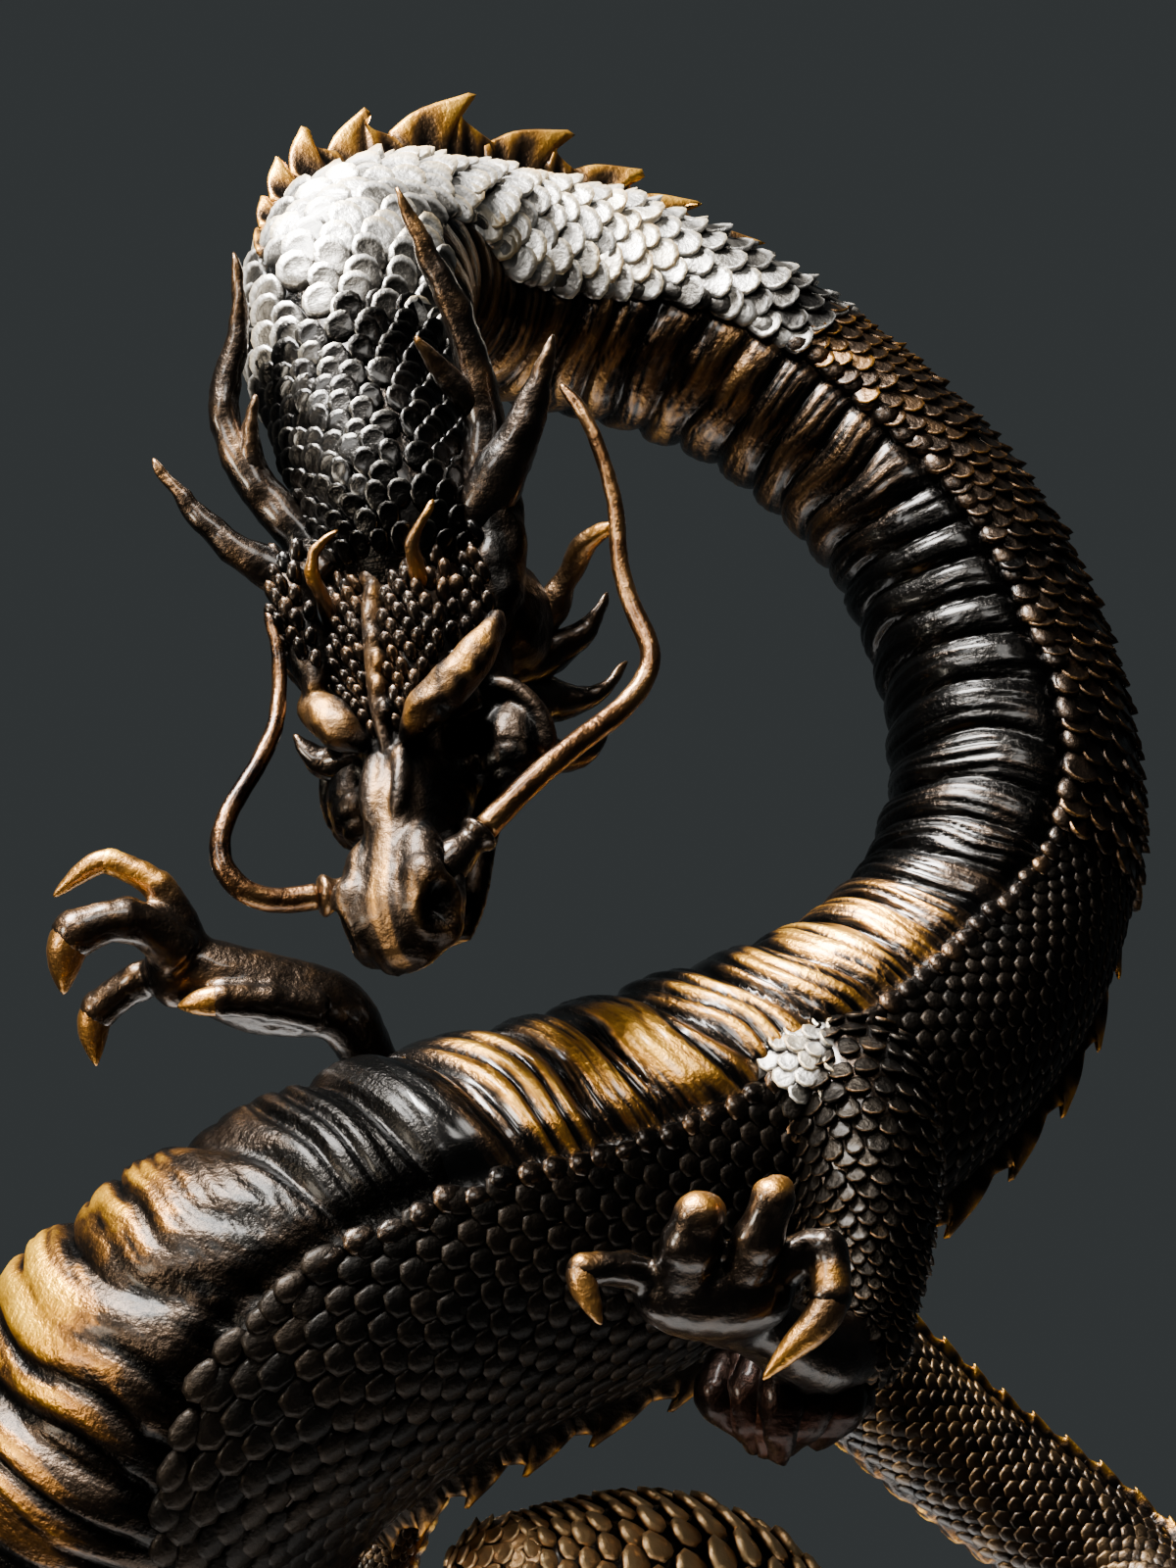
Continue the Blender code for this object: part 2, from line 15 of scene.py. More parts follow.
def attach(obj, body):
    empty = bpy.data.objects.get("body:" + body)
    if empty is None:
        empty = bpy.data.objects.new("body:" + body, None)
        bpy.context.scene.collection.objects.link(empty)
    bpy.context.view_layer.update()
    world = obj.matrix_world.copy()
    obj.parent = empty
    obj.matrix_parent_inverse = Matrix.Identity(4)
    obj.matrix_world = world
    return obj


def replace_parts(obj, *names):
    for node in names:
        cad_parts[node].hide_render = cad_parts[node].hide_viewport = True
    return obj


# Sizes shared with the solid model, in metres.
FIGURE_HEIGHT = 0.315
PLINTH_RADIUS = 0.088
PLINTH_HEIGHT = 0.018
PLINTH_EDGE_ROUND = 0.0025
PLINTH_COVE_DEPTH = 0.004
SEAT_GAP = 0.0003
WHISKER_ROOT_RADIUS = 0.0019
WHISKER_TIP_RADIUS = 0.0009
WHISKER_GAP = 0.0003
BOSS_LENGTH = 0.0022
HEIGHT_UNITS = 315.0
UNIT = FIGURE_HEIGHT / HEIGHT_UNITS

# The body's surface, in units of a millimetre.
# Distances along the spine, each with the step between the skin's rings from there on.
BODY_STEPS = ((0.0, 1.2), (60.0, 0.8), (170.0, 0.5), (480.0, 0.8), (560.0, 1.3))
BACK_COLUMNS = 20
BELLY_COLUMNS = 40
BELLY_HALF_ANGLE = 80.0
# How far the belly's plates reach on each side, in degrees from the belly's middle.
NEAR_BELLY = ((0.0, 415.0, 455.0, 560.0, 620.0, 680.0), (80.0, 80.0, 100.0, 100.0, 80.0, 35.0))
FAR_BELLY = ((0.0, 620.0, 680.0), (80.0, 80.0, 35.0))
# How brightly the plates are painted at distances along the spine, as a factor of their wear: painted shade
# under the arch, inside the loop and in the dip before the gold, and painted light on the band and the
# gold.
BELLY_PAINTED_LIGHT = ((150.0, 185.0, 215.0, 285.0, 312.0, 381.0, 389.0, 400.0, 408.0),
              (0.75, 0.60, 0.16, 0.24, 1.4, 1.35, 0.10, 0.10, 1.15))
# Past the first distance the plates take a brighter gold metal, their polish with painted light where they
# are lit from the left, and before the second they lie inside the loop and take a darker metal, painted
# shade.
GOLD_FROM = 387.0
INNER_UNTIL = 285.0
# Where painted shade darkens the plates towards the far side on the band, in degrees past the belly's
# middle.
FAR_SHADE = ((0.0, 285.0, 320.0, 410.0, 445.0), (60.0, 60.0, -22.0, -14.0, 40.0))
SCALED_HALF_ANGLE = 99.0
# A belly plate is this long, and longer with the body's radius.
PLATE_BASE = 1.6
PLATE_GROWTH = 0.385
# Depth of the groove between plates, as a share of the radius.
PLATE_DEPTH = 0.085
# How many plates a fold runs ahead at the near border, at distances along the spine.
FOLD_SKEW = ((0.0, 190.0, 255.0, 285.0, 310.0, 400.0, 450.0, 560.0),
             (-0.30, -0.40, -0.55, 0.0, 0.75, 0.75, 0.25, 0.0))
SEED = 11
VOXEL_HEAD = 0.5
VOXEL_LEGS = 0.8
SMOOTHING_PASSES = 3
RING_POINTS = 40

# The spine: a place, the body's radius, the direction of the back, and the crest's rise there.
SPINE = (
    ((-27, -49, 231), 7.0, (0.10, -0.95, 0.25), 0.5),
    ((-27, -47, 240), 10.8, (0.20, -0.95, 0.25), 1.0),
    ((-29, -42, 248), 12.6, (0.25, -0.93, 0.27), 2.0),
    ((-32, -30, 260), 14.2, (-0.10, -0.95, 0.30), 2.5),
    ((-35, -16, 275), 16.8, (-0.62, -0.72, 0.25), 3.0),
    ((-35, 2, 286), 17.1, (-0.85, -0.20, 0.45), 4.5),
    ((-28, 22, 291), 17.7, (-0.35, -0.05, 0.94), 7.5),
    ((-14, 34, 290), 18.1, (0.04, 0.16, 0.99), 10.5),
    ((1, 40, 287), 18.4, (0.17, 0.30, 0.94), 7.5),
    ((17, 41, 282), 17.5, (0.37, 0.43, 0.82), 4.0),
    ((33, 40, 273), 16.8, (0.56, 0.49, 0.67), 3.8),
    ((48, 36, 260), 17.0, (0.72, 0.47, 0.51), 3.8),
    ((61, 30, 242), 17.9, (0.83, 0.48, 0.28), 3.8),
    ((67, 22, 224), 18.6, (0.88, 0.48, -0.02), 3.8),
    ((69, 14, 207), 19.7, (0.84, 0.48, -0.27), 4.0),
    ((65, 6, 188), 21.0, (0.83, 0.28, -0.48), 4.5),
    ((56, -3, 174), 22.0, (0.75, -0.03, -0.66), 5.0),
    ((42, -12, 163), 23.9, (0.57, -0.13, -0.81), 5.5),
    ((22, -20, 153), 26.2, (0.43, -0.06, -0.90), 5.5),
    ((1, -27, 144), 28.5, (0.39, -0.08, -0.92), 5.5),
    ((-18, -33, 138), 29.8, (0.35, -0.13, -0.93), 5.5),
    ((-36, -38, 131), 31.0, (0.44, -0.09, -0.90), 5.5),
    ((-52, -40, 121), 32.2, (0.66, 0.07, -0.75), 4.5),
    ((-65, -37, 106), 32.5, (0.86, 0.30, -0.40), 3.0),
    ((-72, -29, 87), 32.5, (0.86, 0.50, 0.10), 2.5),
    ((-67, -16, 66), 32.5, (0.80, 0.40, 0.45), 2.5),
    ((-47, -5, 46), 32.0, (0.50, 0.10, 0.86), 3.0),
    ((-16, 3, 32.8), 31.2, (0.10, 0.00, 1.00), 4.0),
    ((22, 8, 35), 28.5, (-0.20, 0.00, 0.98), 5.0),
    ((50, 14, 44), 24.5, (-0.20, 0.00, 0.98), 5.0),
    ((76, 26, 50), 20.0, (0.00, 0.00, 1.00), 4.5),
    ((97, 48, 50), 16.3, (0.15, -0.05, 0.98), 3.5),
    ((104, 70, 53), 13.8, (0.30, -0.10, 0.95), 3.0),
    ((97, 85, 62), 12.7, (0.50, -0.10, 0.85), 2.5),
    ((81, 88, 75), 12.4, (0.58, -0.12, 0.80), 2.5),
    ((64, 86, 88), 12.2, (0.58, -0.12, 0.80), 2.5),
    ((49, 80, 101), 12.0, (0.50, -0.05, 0.86), 3.0),
    ((27, 69, 114), 11.3, (0.22, 0.10, 0.97), 4.0),
    ((2, 58, 117), 10.2, (-0.15, 0.15, 0.97), 4.0),
    ((-19, 50, 108), 9.0, (-0.70, 0.15, 0.70), 4.0),
    ((-30, 45, 90), 7.6, (-0.95, 0.15, 0.25), 4.0),
    ((-36, 42, 70), 5.0, (-0.97, 0.10, 0.18), 3.0),
    ((-38, 41, 56), 2.5, (-0.97, 0.10, 0.18), 1.0),
)

# The head's own coordinates start at this place in the skull, and run across, forward and up.
HEAD_PLACE = (-25.1, -45.0, 232.6)
HEAD_FORWARD = (-0.02, -0.60, -0.80)
HEAD_UP = (-0.50, -0.69, 0.52)

# Sections across the head: forward, half width on top and at the side, top and floor.
SKULL_SECTIONS = (
    (-24.0, 1.5, 5.0, 1.0, -4.0),
    (-16.0, 4.0, 9.5, 5.5, -7.0),
    (-7.0, 7.0, 13.0, 9.0, -9.0),
    (4.0, 8.0, 15.0, 10.8, -10.0),
    (14.0, 7.5, 14.5, 9.6, -10.0),
    (22.0, 5.0, 12.5, 7.0, -10.0),
    (28.0, 3.6, 10.0, 4.8, -9.5),
    (34.0, 3.6, 8.2, 5.6, -9.0),
    (40.0, 3.4, 7.6, 5.6, -8.8),
    (46.0, 2.8, 7.2, 4.8, -8.5),
    (51.0, 3.6, 7.2, 4.9, -8.0),
    (56.0, 4.6, 7.4, 4.8, -7.2),
    (59.5, 3.8, 6.0, 3.0, -6.0),
    (62.5, 2.0, 3.4, 0.0, -4.0),
)
JAW_SECTIONS = (
    (2.0, 6.0, 9.5, -8.0, -15.0),
    (12.0, 7.0, 10.5, -8.5, -16.5),
    (24.0, 6.5, 9.5, -9.8, -16.5),
    (36.0, 4.5, 6.5, -11.5, -16.0),
    (46.0, 3.5, 5.2, -12.5, -16.0),
    (51.0, 2.0, 3.0, -13.0, -15.5),
)

# The brow's swellings, left and right, in the head's own coordinates.
BROW_PADS = {
    -1: ((-3.4, 28.0, 5.6), (-5.8, 26.2, 7.4), (-8.2, 23.6, 8.0), (-10.4, 21.0, 7.6), (-12.0, 18.0, 6.6),
         (-13.0, 15.0, 5.6)),
    1: ((3.4, 29.4, 5.4), (6.8, 27.8, 7.4), (11.0, 25.4, 8.3), (14.8, 22.4, 8.3), (17.2, 18.4, 7.6),
        (18.0, 13.0, 6.6)),
}

# Crest spikes: how far along the spine a tip stands, how high, and how far it leans to the tail.
CREST_TIPS = (
    (74.0, 2.6, 1.8), (80.5, 5.0, 2.0), (86.3, 8.2, 1.8), (90.8, 11.0, 2.0), (96.8, 11.0, 2.6),
    (107.0, 14.6, 5.6), (122.3, 12.2, 6.2), (134.3, 9.4, 4.5), (142.5, 8.2, 4.5), (152.5, 7.0, 4.0),
    (162.0, 5.0, 3.2),
)
# Past this distance the spikes follow the spine's own rise, and between the next two they take the darker
# flank metal, painted shade where they lie in shadow.
CREST_FOLLOWS = 170.0
SHADED_CREST = (235.0, 640.0)

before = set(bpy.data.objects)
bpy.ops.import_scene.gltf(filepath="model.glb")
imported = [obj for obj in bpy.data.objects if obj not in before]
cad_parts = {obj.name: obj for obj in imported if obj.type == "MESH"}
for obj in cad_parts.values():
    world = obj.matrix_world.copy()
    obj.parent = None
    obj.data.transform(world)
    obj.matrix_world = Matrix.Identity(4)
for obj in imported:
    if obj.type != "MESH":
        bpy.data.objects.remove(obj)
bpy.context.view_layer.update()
rng = np.random.default_rng(SEED)
# Without a seed, noise_vector differs from one start of Blender to the next.
noise.seed_set(SEED)


def unit_vector(vector):
    vector = np.asarray(vector, float)
    return vector / np.linalg.norm(vector)


def normalised(rows):
    return rows / np.maximum(np.linalg.norm(rows, axis=-1, keepdims=True), 1e-9)


def head_axes():
    forward = unit_vector(HEAD_FORWARD)
    across = unit_vector(np.cross(HEAD_UP, forward))
    return np.array((across, forward, np.cross(forward, across)))


HEAD_AXES = head_axes()


def head_point(across, forward, up):
    return np.array(HEAD_PLACE) + np.array((across, forward, up)) @ HEAD_AXES


def head_coordinates(points):
    return (points - np.array(HEAD_PLACE)) @ HEAD_AXES.T


def smooth_rows(rows, count):
    """Rows evenly spaced along a natural cubic spline through the given ones."""
    rows = np.asarray(rows, float)
    gaps = np.linalg.norm(np.diff(rows[:, :3], axis=0), axis=1)
    knots = np.concatenate([[0.0], np.cumsum(gaps)])
    size = len(rows)
    matrix = np.eye(size)
    right = np.zeros_like(rows)
    for i in range(1, size - 1):
        matrix[i, i - 1:i + 2] = gaps[i - 1], 2 * (gaps[i - 1] + gaps[i]), gaps[i]
        slopes = (rows[i + 1] - rows[i]) / gaps[i] - (rows[i] - rows[i - 1]) / gaps[i - 1]
        right[i] = 6 * slopes
    bends = np.linalg.solve(matrix, right)

    def at(where):
        where = np.asarray(where, float)
        i = np.clip(np.searchsorted(knots, where) - 1, 0, size - 2)
        gap = gaps[i][:, None]
        passed = (where - knots[i])[:, None]
        left = gap - passed
        return (
            (bends[i] * left ** 3 + bends[i + 1] * passed ** 3) / (6 * gap)
            + (rows[i] / gap - bends[i] * gap / 6) * left
            + (rows[i + 1] / gap - bends[i + 1] * gap / 6) * passed
        )

    fine_knots = np.linspace(0.0, knots[-1], 40 * size)
    fine = at(fine_knots)
    lengths = np.linalg.norm(np.diff(fine[:, :3], axis=0), axis=1)
    travelled = np.concatenate([[0.0], np.cumsum(lengths)])
    return at(np.interp(np.linspace(0.0, travelled[-1], count), travelled, fine_knots))


def line_length(points):
    points = np.asarray(points, float)[:, :3]
    return float(np.linalg.norm(np.diff(points, axis=0), axis=1).sum())


def value_noise(x, y, seed):
    """Smooth noise between 0 and 1 on a plane, with lattice cells one unit wide."""
    lattice = np.random.default_rng(100 + seed).random((128, 128))
    x, y = np.asarray(x, float), np.asarray(y, float)
    i, j = np.floor(x).astype(int), np.floor(y).astype(int)
    u, v = x - i, y - j
    u, v = u * u * (3 - 2 * u), v * v * (3 - 2 * v)
    a, b = lattice[i % 128, j % 128], lattice[(i + 1) % 128, j % 128]
    c, d = lattice[i % 128, (j + 1) % 128], lattice[(i + 1) % 128, (j + 1) % 128]
    return (a * (1 - u) + b * u) * (1 - v) + (c * (1 - u) + d * u) * v


def smoothstep(low, high, value):
    t = np.clip((value - low) / (high - low), 0.0, 1.0)
    return t * t * (3 - 2 * t)


class Pool:
    """Closed shapes gathered into one mesh, with a wear value for every point, which holds worn polish
    together with painted light and painted shade.
    """

    def __init__(self):
        self.points, self.faces, self.wear, self.count = [], [], [], 0

    def add(self, points, faces, wear):
        points = np.asarray(points, float).reshape(-1, 3)
        self.points.append(points)
        self.wear.append(np.broadcast_to(np.asarray(wear, float), (len(points),)))
        shift = self.count
        self.faces.extend([tuple(i + shift for i in face) for face in faces])
        self.count += len(points)

    def add_many(self, points, template, wear):
        """Copies of one shape: points is (copies, points, 3), template its faces."""
        copies, size = points.shape[:2]
        self.points.append(points.reshape(-1, 3))
        self.wear.append(np.asarray(wear, float).reshape(-1))
        for face in template:
            rows = self.count + np.arange(copies)[:, None] * size + np.array(face)[None, :]
            self.faces.extend(map(tuple, rows.tolist()))
        self.count += copies * size

    def object(self, name, metal, slot="patinated_bronze"):
        mesh = bpy.data.meshes.new(name)
        points = np.concatenate(self.points) * UNIT
        points[:, 2] += PLINTH_HEIGHT + SEAT_GAP
        mesh.from_pydata(points.tolist(), [], self.faces)
        return finish_object(name, mesh, np.concatenate(self.wear), metal)


def finish_object(name, mesh, wear, metal):
    mesh.update()
    mesh.polygons.foreach_set("use_smooth", np.ones(len(mesh.polygons), bool))
    # This colour value holds worn polish and also painted light and painted shade.
    add_layer(mesh, "wear", np.clip(wear, -0.5, 1.0))
    mesh.materials.append(metals[metal])
    obj = bpy.data.objects.new(name, mesh)
    bpy.context.scene.collection.objects.link(obj)
    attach(obj, "root")
    return obj


def add_layer(mesh, name, values):
    layer = mesh.attributes.new(name, "FLOAT", "POINT")
    layer.data.foreach_set("value", values.reshape(-1).astype(np.float32))


# Materials

def node(tree, kind, **sockets):
    made = tree.nodes.new(kind)
    for name, value in sockets.items():
        made.inputs[name.replace("_", " ")].default_value = value
    return made


def attribute(tree, name):
    made = tree.nodes.new("ShaderNodeAttribute")
    made.attribute_name = name
    return made.outputs["Fac"]


def worked_out(tree, operation, *values):
    """A sum of sockets and numbers, by the named operation."""
    made = tree.nodes.new("ShaderNodeMath")
    made.operation = operation
    for socket, value in zip(made.inputs, values):
        if isinstance(value, float):
            socket.default_value = value
        else:
            tree.links.new(value, socket)
    return made.outputs[0]


def bump(tree, height, strength, distance):
    made = node(tree, "ShaderNodeBump", Strength=strength, Distance=distance)
    tree.links.new(height, made.inputs["Height"])
    return made


def streak_noise(tree):
    """Fine streaks that follow the belly's folds."""
    joined = tree.nodes.new("ShaderNodeCombineXYZ")
    for socket, name, share in (("X", "along", 1.1), ("Y", "round", 0.12)):
        scaled = worked_out(tree, "MULTIPLY", attribute(tree, name), share)
        tree.links.new(scaled, joined.inputs[socket])
    streaks = node(tree, "ShaderNodeTexNoise", Scale=1.0, Detail=3.0, Roughness=0.6)
    tree.links.new(joined.outputs["Vector"], streaks.inputs["Vector"])
    return streaks.outputs["Fac"]


def colour_ramp(tree, stops):
    ramp = tree.nodes.new("ShaderNodeValToRGB")
    elements = ramp.color_ramp.elements
    for element, (wear, colour) in ((elements[0], stops[0]), (elements[1], stops[-1])):
        element.position = wear
        element.color = (*colour, 1.0)
    for wear, colour in stops[1:-1]:
        elements.new(wear).color = (*colour, 1.0)
    return ramp


def bronze(name, stops, roughness, coat):
    """Patinated metal: the wear value and cloudy noise pick a colour, from recess to polished edge; besides
    worn polish, that value carries painted light and painted shade.
    """
    material = bpy.data.materials.new(name)
    material.use_nodes = True
    tree = material.node_tree
    shader = tree.nodes["Principled BSDF"]
    shader.inputs["Metallic"].default_value = 1.0
    shader.inputs["Coat Weight"].default_value = coat
    shader.inputs["Coat Roughness"].default_value = 0.17
    place = node(tree, "ShaderNodeTexCoord").outputs["Object"]
    cloud = node(tree, "ShaderNodeTexNoise", Scale=70.0, Detail=5.0, Roughness=0.6)
    fine = node(tree, "ShaderNodeTexNoise", Scale=900.0, Detail=3.0, Roughness=0.6)
    tree.links.new(place, cloud.inputs["Vector"])
    tree.links.new(place, fine.inputs["Vector"])
    spread = worked_out(tree, "MULTIPLY_ADD", cloud.outputs["Fac"], 0.7, -0.35)
    total = worked_out(tree, "ADD", attribute(tree, "wear"), spread)
    grain = bump(tree, fine.outputs["Fac"], 0.45, 0.0006)
    if name in STREAKED:
        streaks = streak_noise(tree)
        share = worked_out(tree, "MULTIPLY_ADD", streaks, 0.5, -0.25)
        total = worked_out(tree, "ADD", total, share)
        tree.links.new(bump(tree, streaks, 0.2, 0.0009).outputs["Normal"], grain.inputs["Normal"])
    ramp = colour_ramp(tree, stops)
    tree.links.new(total, ramp.inputs["Fac"])
    tree.links.new(ramp.outputs["Color"], shader.inputs["Base Color"])
    rough = node(tree, "ShaderNodeMapRange", To_Min=roughness[0], To_Max=roughness[1])
    tree.links.new(total, rough.inputs["Value"])
    tree.links.new(rough.outputs["Result"], shader.inputs["Roughness"])
    tree.links.new(grain.outputs["Normal"], shader.inputs["Normal"])
    return material


RECESS, DARK, WARM, GOLD, BRIGHT = (
    (0.005, 0.0045, 0.004), (0.026, 0.017, 0.011), (0.13, 0.070, 0.030),
    (0.48, 0.215, 0.030), (0.86, 0.45, 0.055),
)
STREAKED = ("lit_gold_bronze", "shaded_inner_bronze", "belly_bronze")
# Each metal's colours at their wear and painted light, its roughness in recesses and on edges, and its
# clear coat. The shaded metals are darker copies, painted shade for parts in shadow; the lit metals and the
# neck's silver are lighter copies, painted light and a painted sheen.
METALS = {
    "patinated_bronze": (
        ((0.0, RECESS), (0.3, DARK), (0.55, WARM), (0.8, GOLD), (1.0, BRIGHT)), (0.30, 0.42), 0.40),
    # Painted shade: a near-black copy for the trunk's scales and the spikes in shadow.
    "shaded_flank_bronze": (
        ((0.0, RECESS), (0.55, (0.018, 0.013, 0.009)), (0.85, WARM), (1.0, GOLD)), (0.52, 0.5), 0.03),
    "arch_bronze": (
        ((0.0, RECESS), (0.3, DARK), (0.55, WARM), (0.8, GOLD), (1.0, BRIGHT)), (0.34, 0.46), 0.15),
    "tail_bronze": (
        ((0.0, RECESS), (0.22, (0.038, 0.026, 0.017)), (0.45, (0.18, 0.11, 0.05)), (1.0, GOLD)),
        (0.42, 0.55), 0.2),
    # Painted sheen: silver-white crowns for the neck and the shoulder, where the lamp's light falls.
    "sheen_neck_bronze": (
        ((0.0, RECESS), (0.12, (0.035, 0.032, 0.028)), (0.24, (0.10, 0.092, 0.08)),
         (0.40, (0.54, 0.52, 0.49)), (0.70, (0.62, 0.52, 0.36)), (1.0, (0.72, 0.46, 0.18))),
        (0.42, 0.54), 0.3),
    # Painted light: a lighter copy for the hind legs' scales, which the lamps hardly reach.
    "lit_thigh_bronze": (
        ((0.0, RECESS), (0.24, (0.16, 0.09, 0.045)), (0.5, (0.66, 0.40, 0.18)), (1.0, (0.88, 0.60, 0.30))),
        (0.42, 0.5), 0.3),
    "hair_bronze": (
        ((0.0, RECESS), (0.3, (0.010, 0.0045, 0.003)), (0.6, (0.040, 0.013, 0.006)), (1.0, GOLD)),
        (0.36, 0.5), 0.10),
    # Painted light: brighter, more saturated gold for the plates past the dip, lit from the left.
    "lit_gold_bronze": (
        ((0.0, RECESS), (0.28, DARK), (0.48, (0.16, 0.07, 0.015)), (0.72, (0.64, 0.31, 0.014)),
         (1.0, (0.95, 0.54, 0.03))), (0.31, 0.40), 0.05),
    # Painted shade: a darker copy for the plates inside the loop.
    "shaded_inner_bronze": (
        ((0.0, RECESS), (0.22, DARK), (0.44, WARM), (0.75, (0.34, 0.17, 0.04)), (1.0, GOLD)),
        (0.26, 0.40), 0.25),
    # Painted shade: a near-black copy for the arms' scales beyond the shoulder's top.
    "shaded_arm_bronze": (
        ((0.0, RECESS), (0.45, (0.015, 0.012, 0.009)), (0.8, WARM), (1.0, GOLD)), (0.46, 0.44), 0.04),
    # Painted shade: a darker grey copy for the lower neck by the head.
    "shaded_nape_bronze": (
        ((0.0, RECESS), (0.24, (0.012, 0.011, 0.010)), (0.50, (0.06, 0.056, 0.05)),
         (0.78, (0.34, 0.31, 0.24)), (1.0, GOLD)), (0.28, 0.38), 0.22),
    "skull_bronze": (
        ((0.0, RECESS), (0.3, DARK), (0.55, (0.11, 0.058, 0.022)), (0.85, (0.31, 0.14, 0.020)),
         (1.0, (0.52, 0.26, 0.035))), (0.38, 0.50), 0.05),
    "belly_bronze": (
        ((0.0, RECESS), (0.28, DARK), (0.46, WARM), (0.68, GOLD), (1.0, BRIGHT)), (0.26, 0.40), 0.7),
    "whisker_bronze": (
        ((0.0, (0.012, 0.007, 0.005)), (0.4, (0.12, 0.055, 0.020)), (0.75, (0.34, 0.18, 0.065)),
         (1.0, (0.60, 0.38, 0.16))), (0.26, 0.40), 0.3),
    "plinth_bronze": (
        ((0.0, RECESS), (0.5, (0.035, 0.028, 0.022)), (1.0, (0.14, 0.085, 0.045))), (0.3, 0.5), 0.4),
}
metals = {name: bronze(name, *look) for name, look in METALS.items()}


# Tubes and lofts

def carried_frames(places):
    """Tangents, and two directions square to them that don't twist along the line."""
    tangents = normalised(np.gradient(places, axis=0))
    side = np.cross(tangents[0], (0, 0, 1) if abs(tangents[0][2]) < 0.9 else (0, 1, 0))
    sides = []
    for tangent in tangents:
        side = side - side.dot(tangent) * tangent
        side = side / np.linalg.norm(side)
        sides.append(side)
    sides = np.array(sides)
    return tangents, sides, np.cross(tangents, sides)


def skin(rings):
    """Faces of a closed loft through rings, (count, sides, 3), capped at both ends."""
    count, sides = rings.shape[:2]
    faces = []
    for i in range(count - 1):
        for j in range(sides):
            k = (j + 1) % sides
            faces.append((i * sides + j, i * sides + k, (i + 1) * sides + k, (i + 1) * sides + j))
    faces.append(tuple(range(sides))[::-1])
    faces.append(tuple((count - 1) * sides + j for j in range(sides)))
    return faces


def outward(points, faces):
    """The faces turned so that the closed shape faces out."""
    volume = 0.0
    for face in faces:
        a = points[face[0]]
        for i in range(1, len(face) - 1):
            volume += np.dot(a, np.cross(points[face[i]], points[face[i + 1]]))
    return faces if volume > 0 else [face[::-1] for face in faces]


def tube(points, radii, sides, steps):
    """A tapering tube that narrows quickly at its very end."""
    rows = smooth_rows([(*point, radius) for point, radius in zip(points, radii)], steps)
    places, radius = rows[:, :3], np.maximum(rows[:, 3], min(radii))
    end = np.linspace(0.0, 1.0, steps)
    radius = radius * (1.0 - 0.55 * np.clip((end - 0.97) / 0.03, 0.0, 1.0))
    _, first, second = carried_frames(places)
    turn = np.linspace(0.0, math.tau, sides, endpoint=False)
    out = np.cos(turn)[None, :, None] * first[:, None] + np.sin(turn)[None, :, None] * second[:, None]
    rings = places[:, None] + radius[:, None, None] * out
    return rings.reshape(-1, 3), outward(rings.reshape(-1, 3), skin(rings))


def ellipsoid(centre, radii, axes=((1, 0, 0), (0, 1, 0), (0, 0, 1))):
    across, tall = 16, 10
    rows = [(0, 0, -1)]
    for i in range(1, tall):
        lift = math.pi * (i / tall - 0.5)
        for j in range(across):
            turn = math.tau * j / across
            rows.append((math.cos(lift) * math.cos(turn), math.cos(lift) * math.sin(turn), math.sin(lift)))
    rows.append((0, 0, 1))
    points = np.array(centre) + (np.array(rows) * radii) @ np.array(axes, float)
    top = len(rows) - 1
    faces = []
    for j in range(across):
        k = (j + 1) % across
        faces.append((0, 1 + k, 1 + j))
        faces.append((top, top - across + j, top - across + k))
        for i in range(tall - 2):
            a = 1 + i * across
            faces.append((a + j, a + k, a + across + k, a + across + j))
    return points, outward(points, faces)


def section_ring(forward, top_half, side_half, top, floor):
    """A smooth ring across the head, narrower on top than at the side."""
    shoulder = floor + 0.68 * (top - floor)
    widest = floor + 0.33 * (top - floor)
    right = [(0.0, top + 0.6), (top_half, top), ((top_half + 1.6 * side_half) / 2.6, shoulder),
             (side_half, widest), (0.75 * side_half, floor), (0.0, floor)]
    corners = np.array(right + [(-a, u) for a, u in right[-2:0:-1]])
    for _ in range(3):
        following = np.roll(corners, -1, axis=0)
        cut = np.stack([0.8 * corners + 0.2 * following, 0.2 * corners + 0.8 * following], 1)
        corners = cut.reshape(-1, 2)
    closed = np.vstack([corners, corners[:1]])
    lengths = np.concatenate([[0], np.cumsum(np.linalg.norm(np.diff(closed, axis=0), axis=1))])
    where = np.linspace(0, lengths[-1], RING_POINTS, endpoint=False)
    across, up = (np.interp(where, lengths, closed[:, i]) for i in (0, 1))
    return np.stack([across, np.full(RING_POINTS, forward), up], 1)


def head_loft(sections, steps):
    sections = np.array(sections, float)
    where = np.linspace(sections[0, 0], sections[-1, 0], steps)
    smooth = np.array([np.interp(where, sections[:, 0], sections[:, i]) for i in range(5)]).T
    for _ in range(2):
        smooth[1:-1, 1:] = 0.25 * smooth[:-2, 1:] + 0.5 * smooth[1:-1, 1:] + 0.25 * smooth[2:, 1:]
    rings = np.array([section_ring(*row) for row in smooth])
    rings = np.array(HEAD_PLACE) + rings @ HEAD_AXES
    return rings.reshape(-1, 3), outward(rings.reshape(-1, 3), skin(rings))


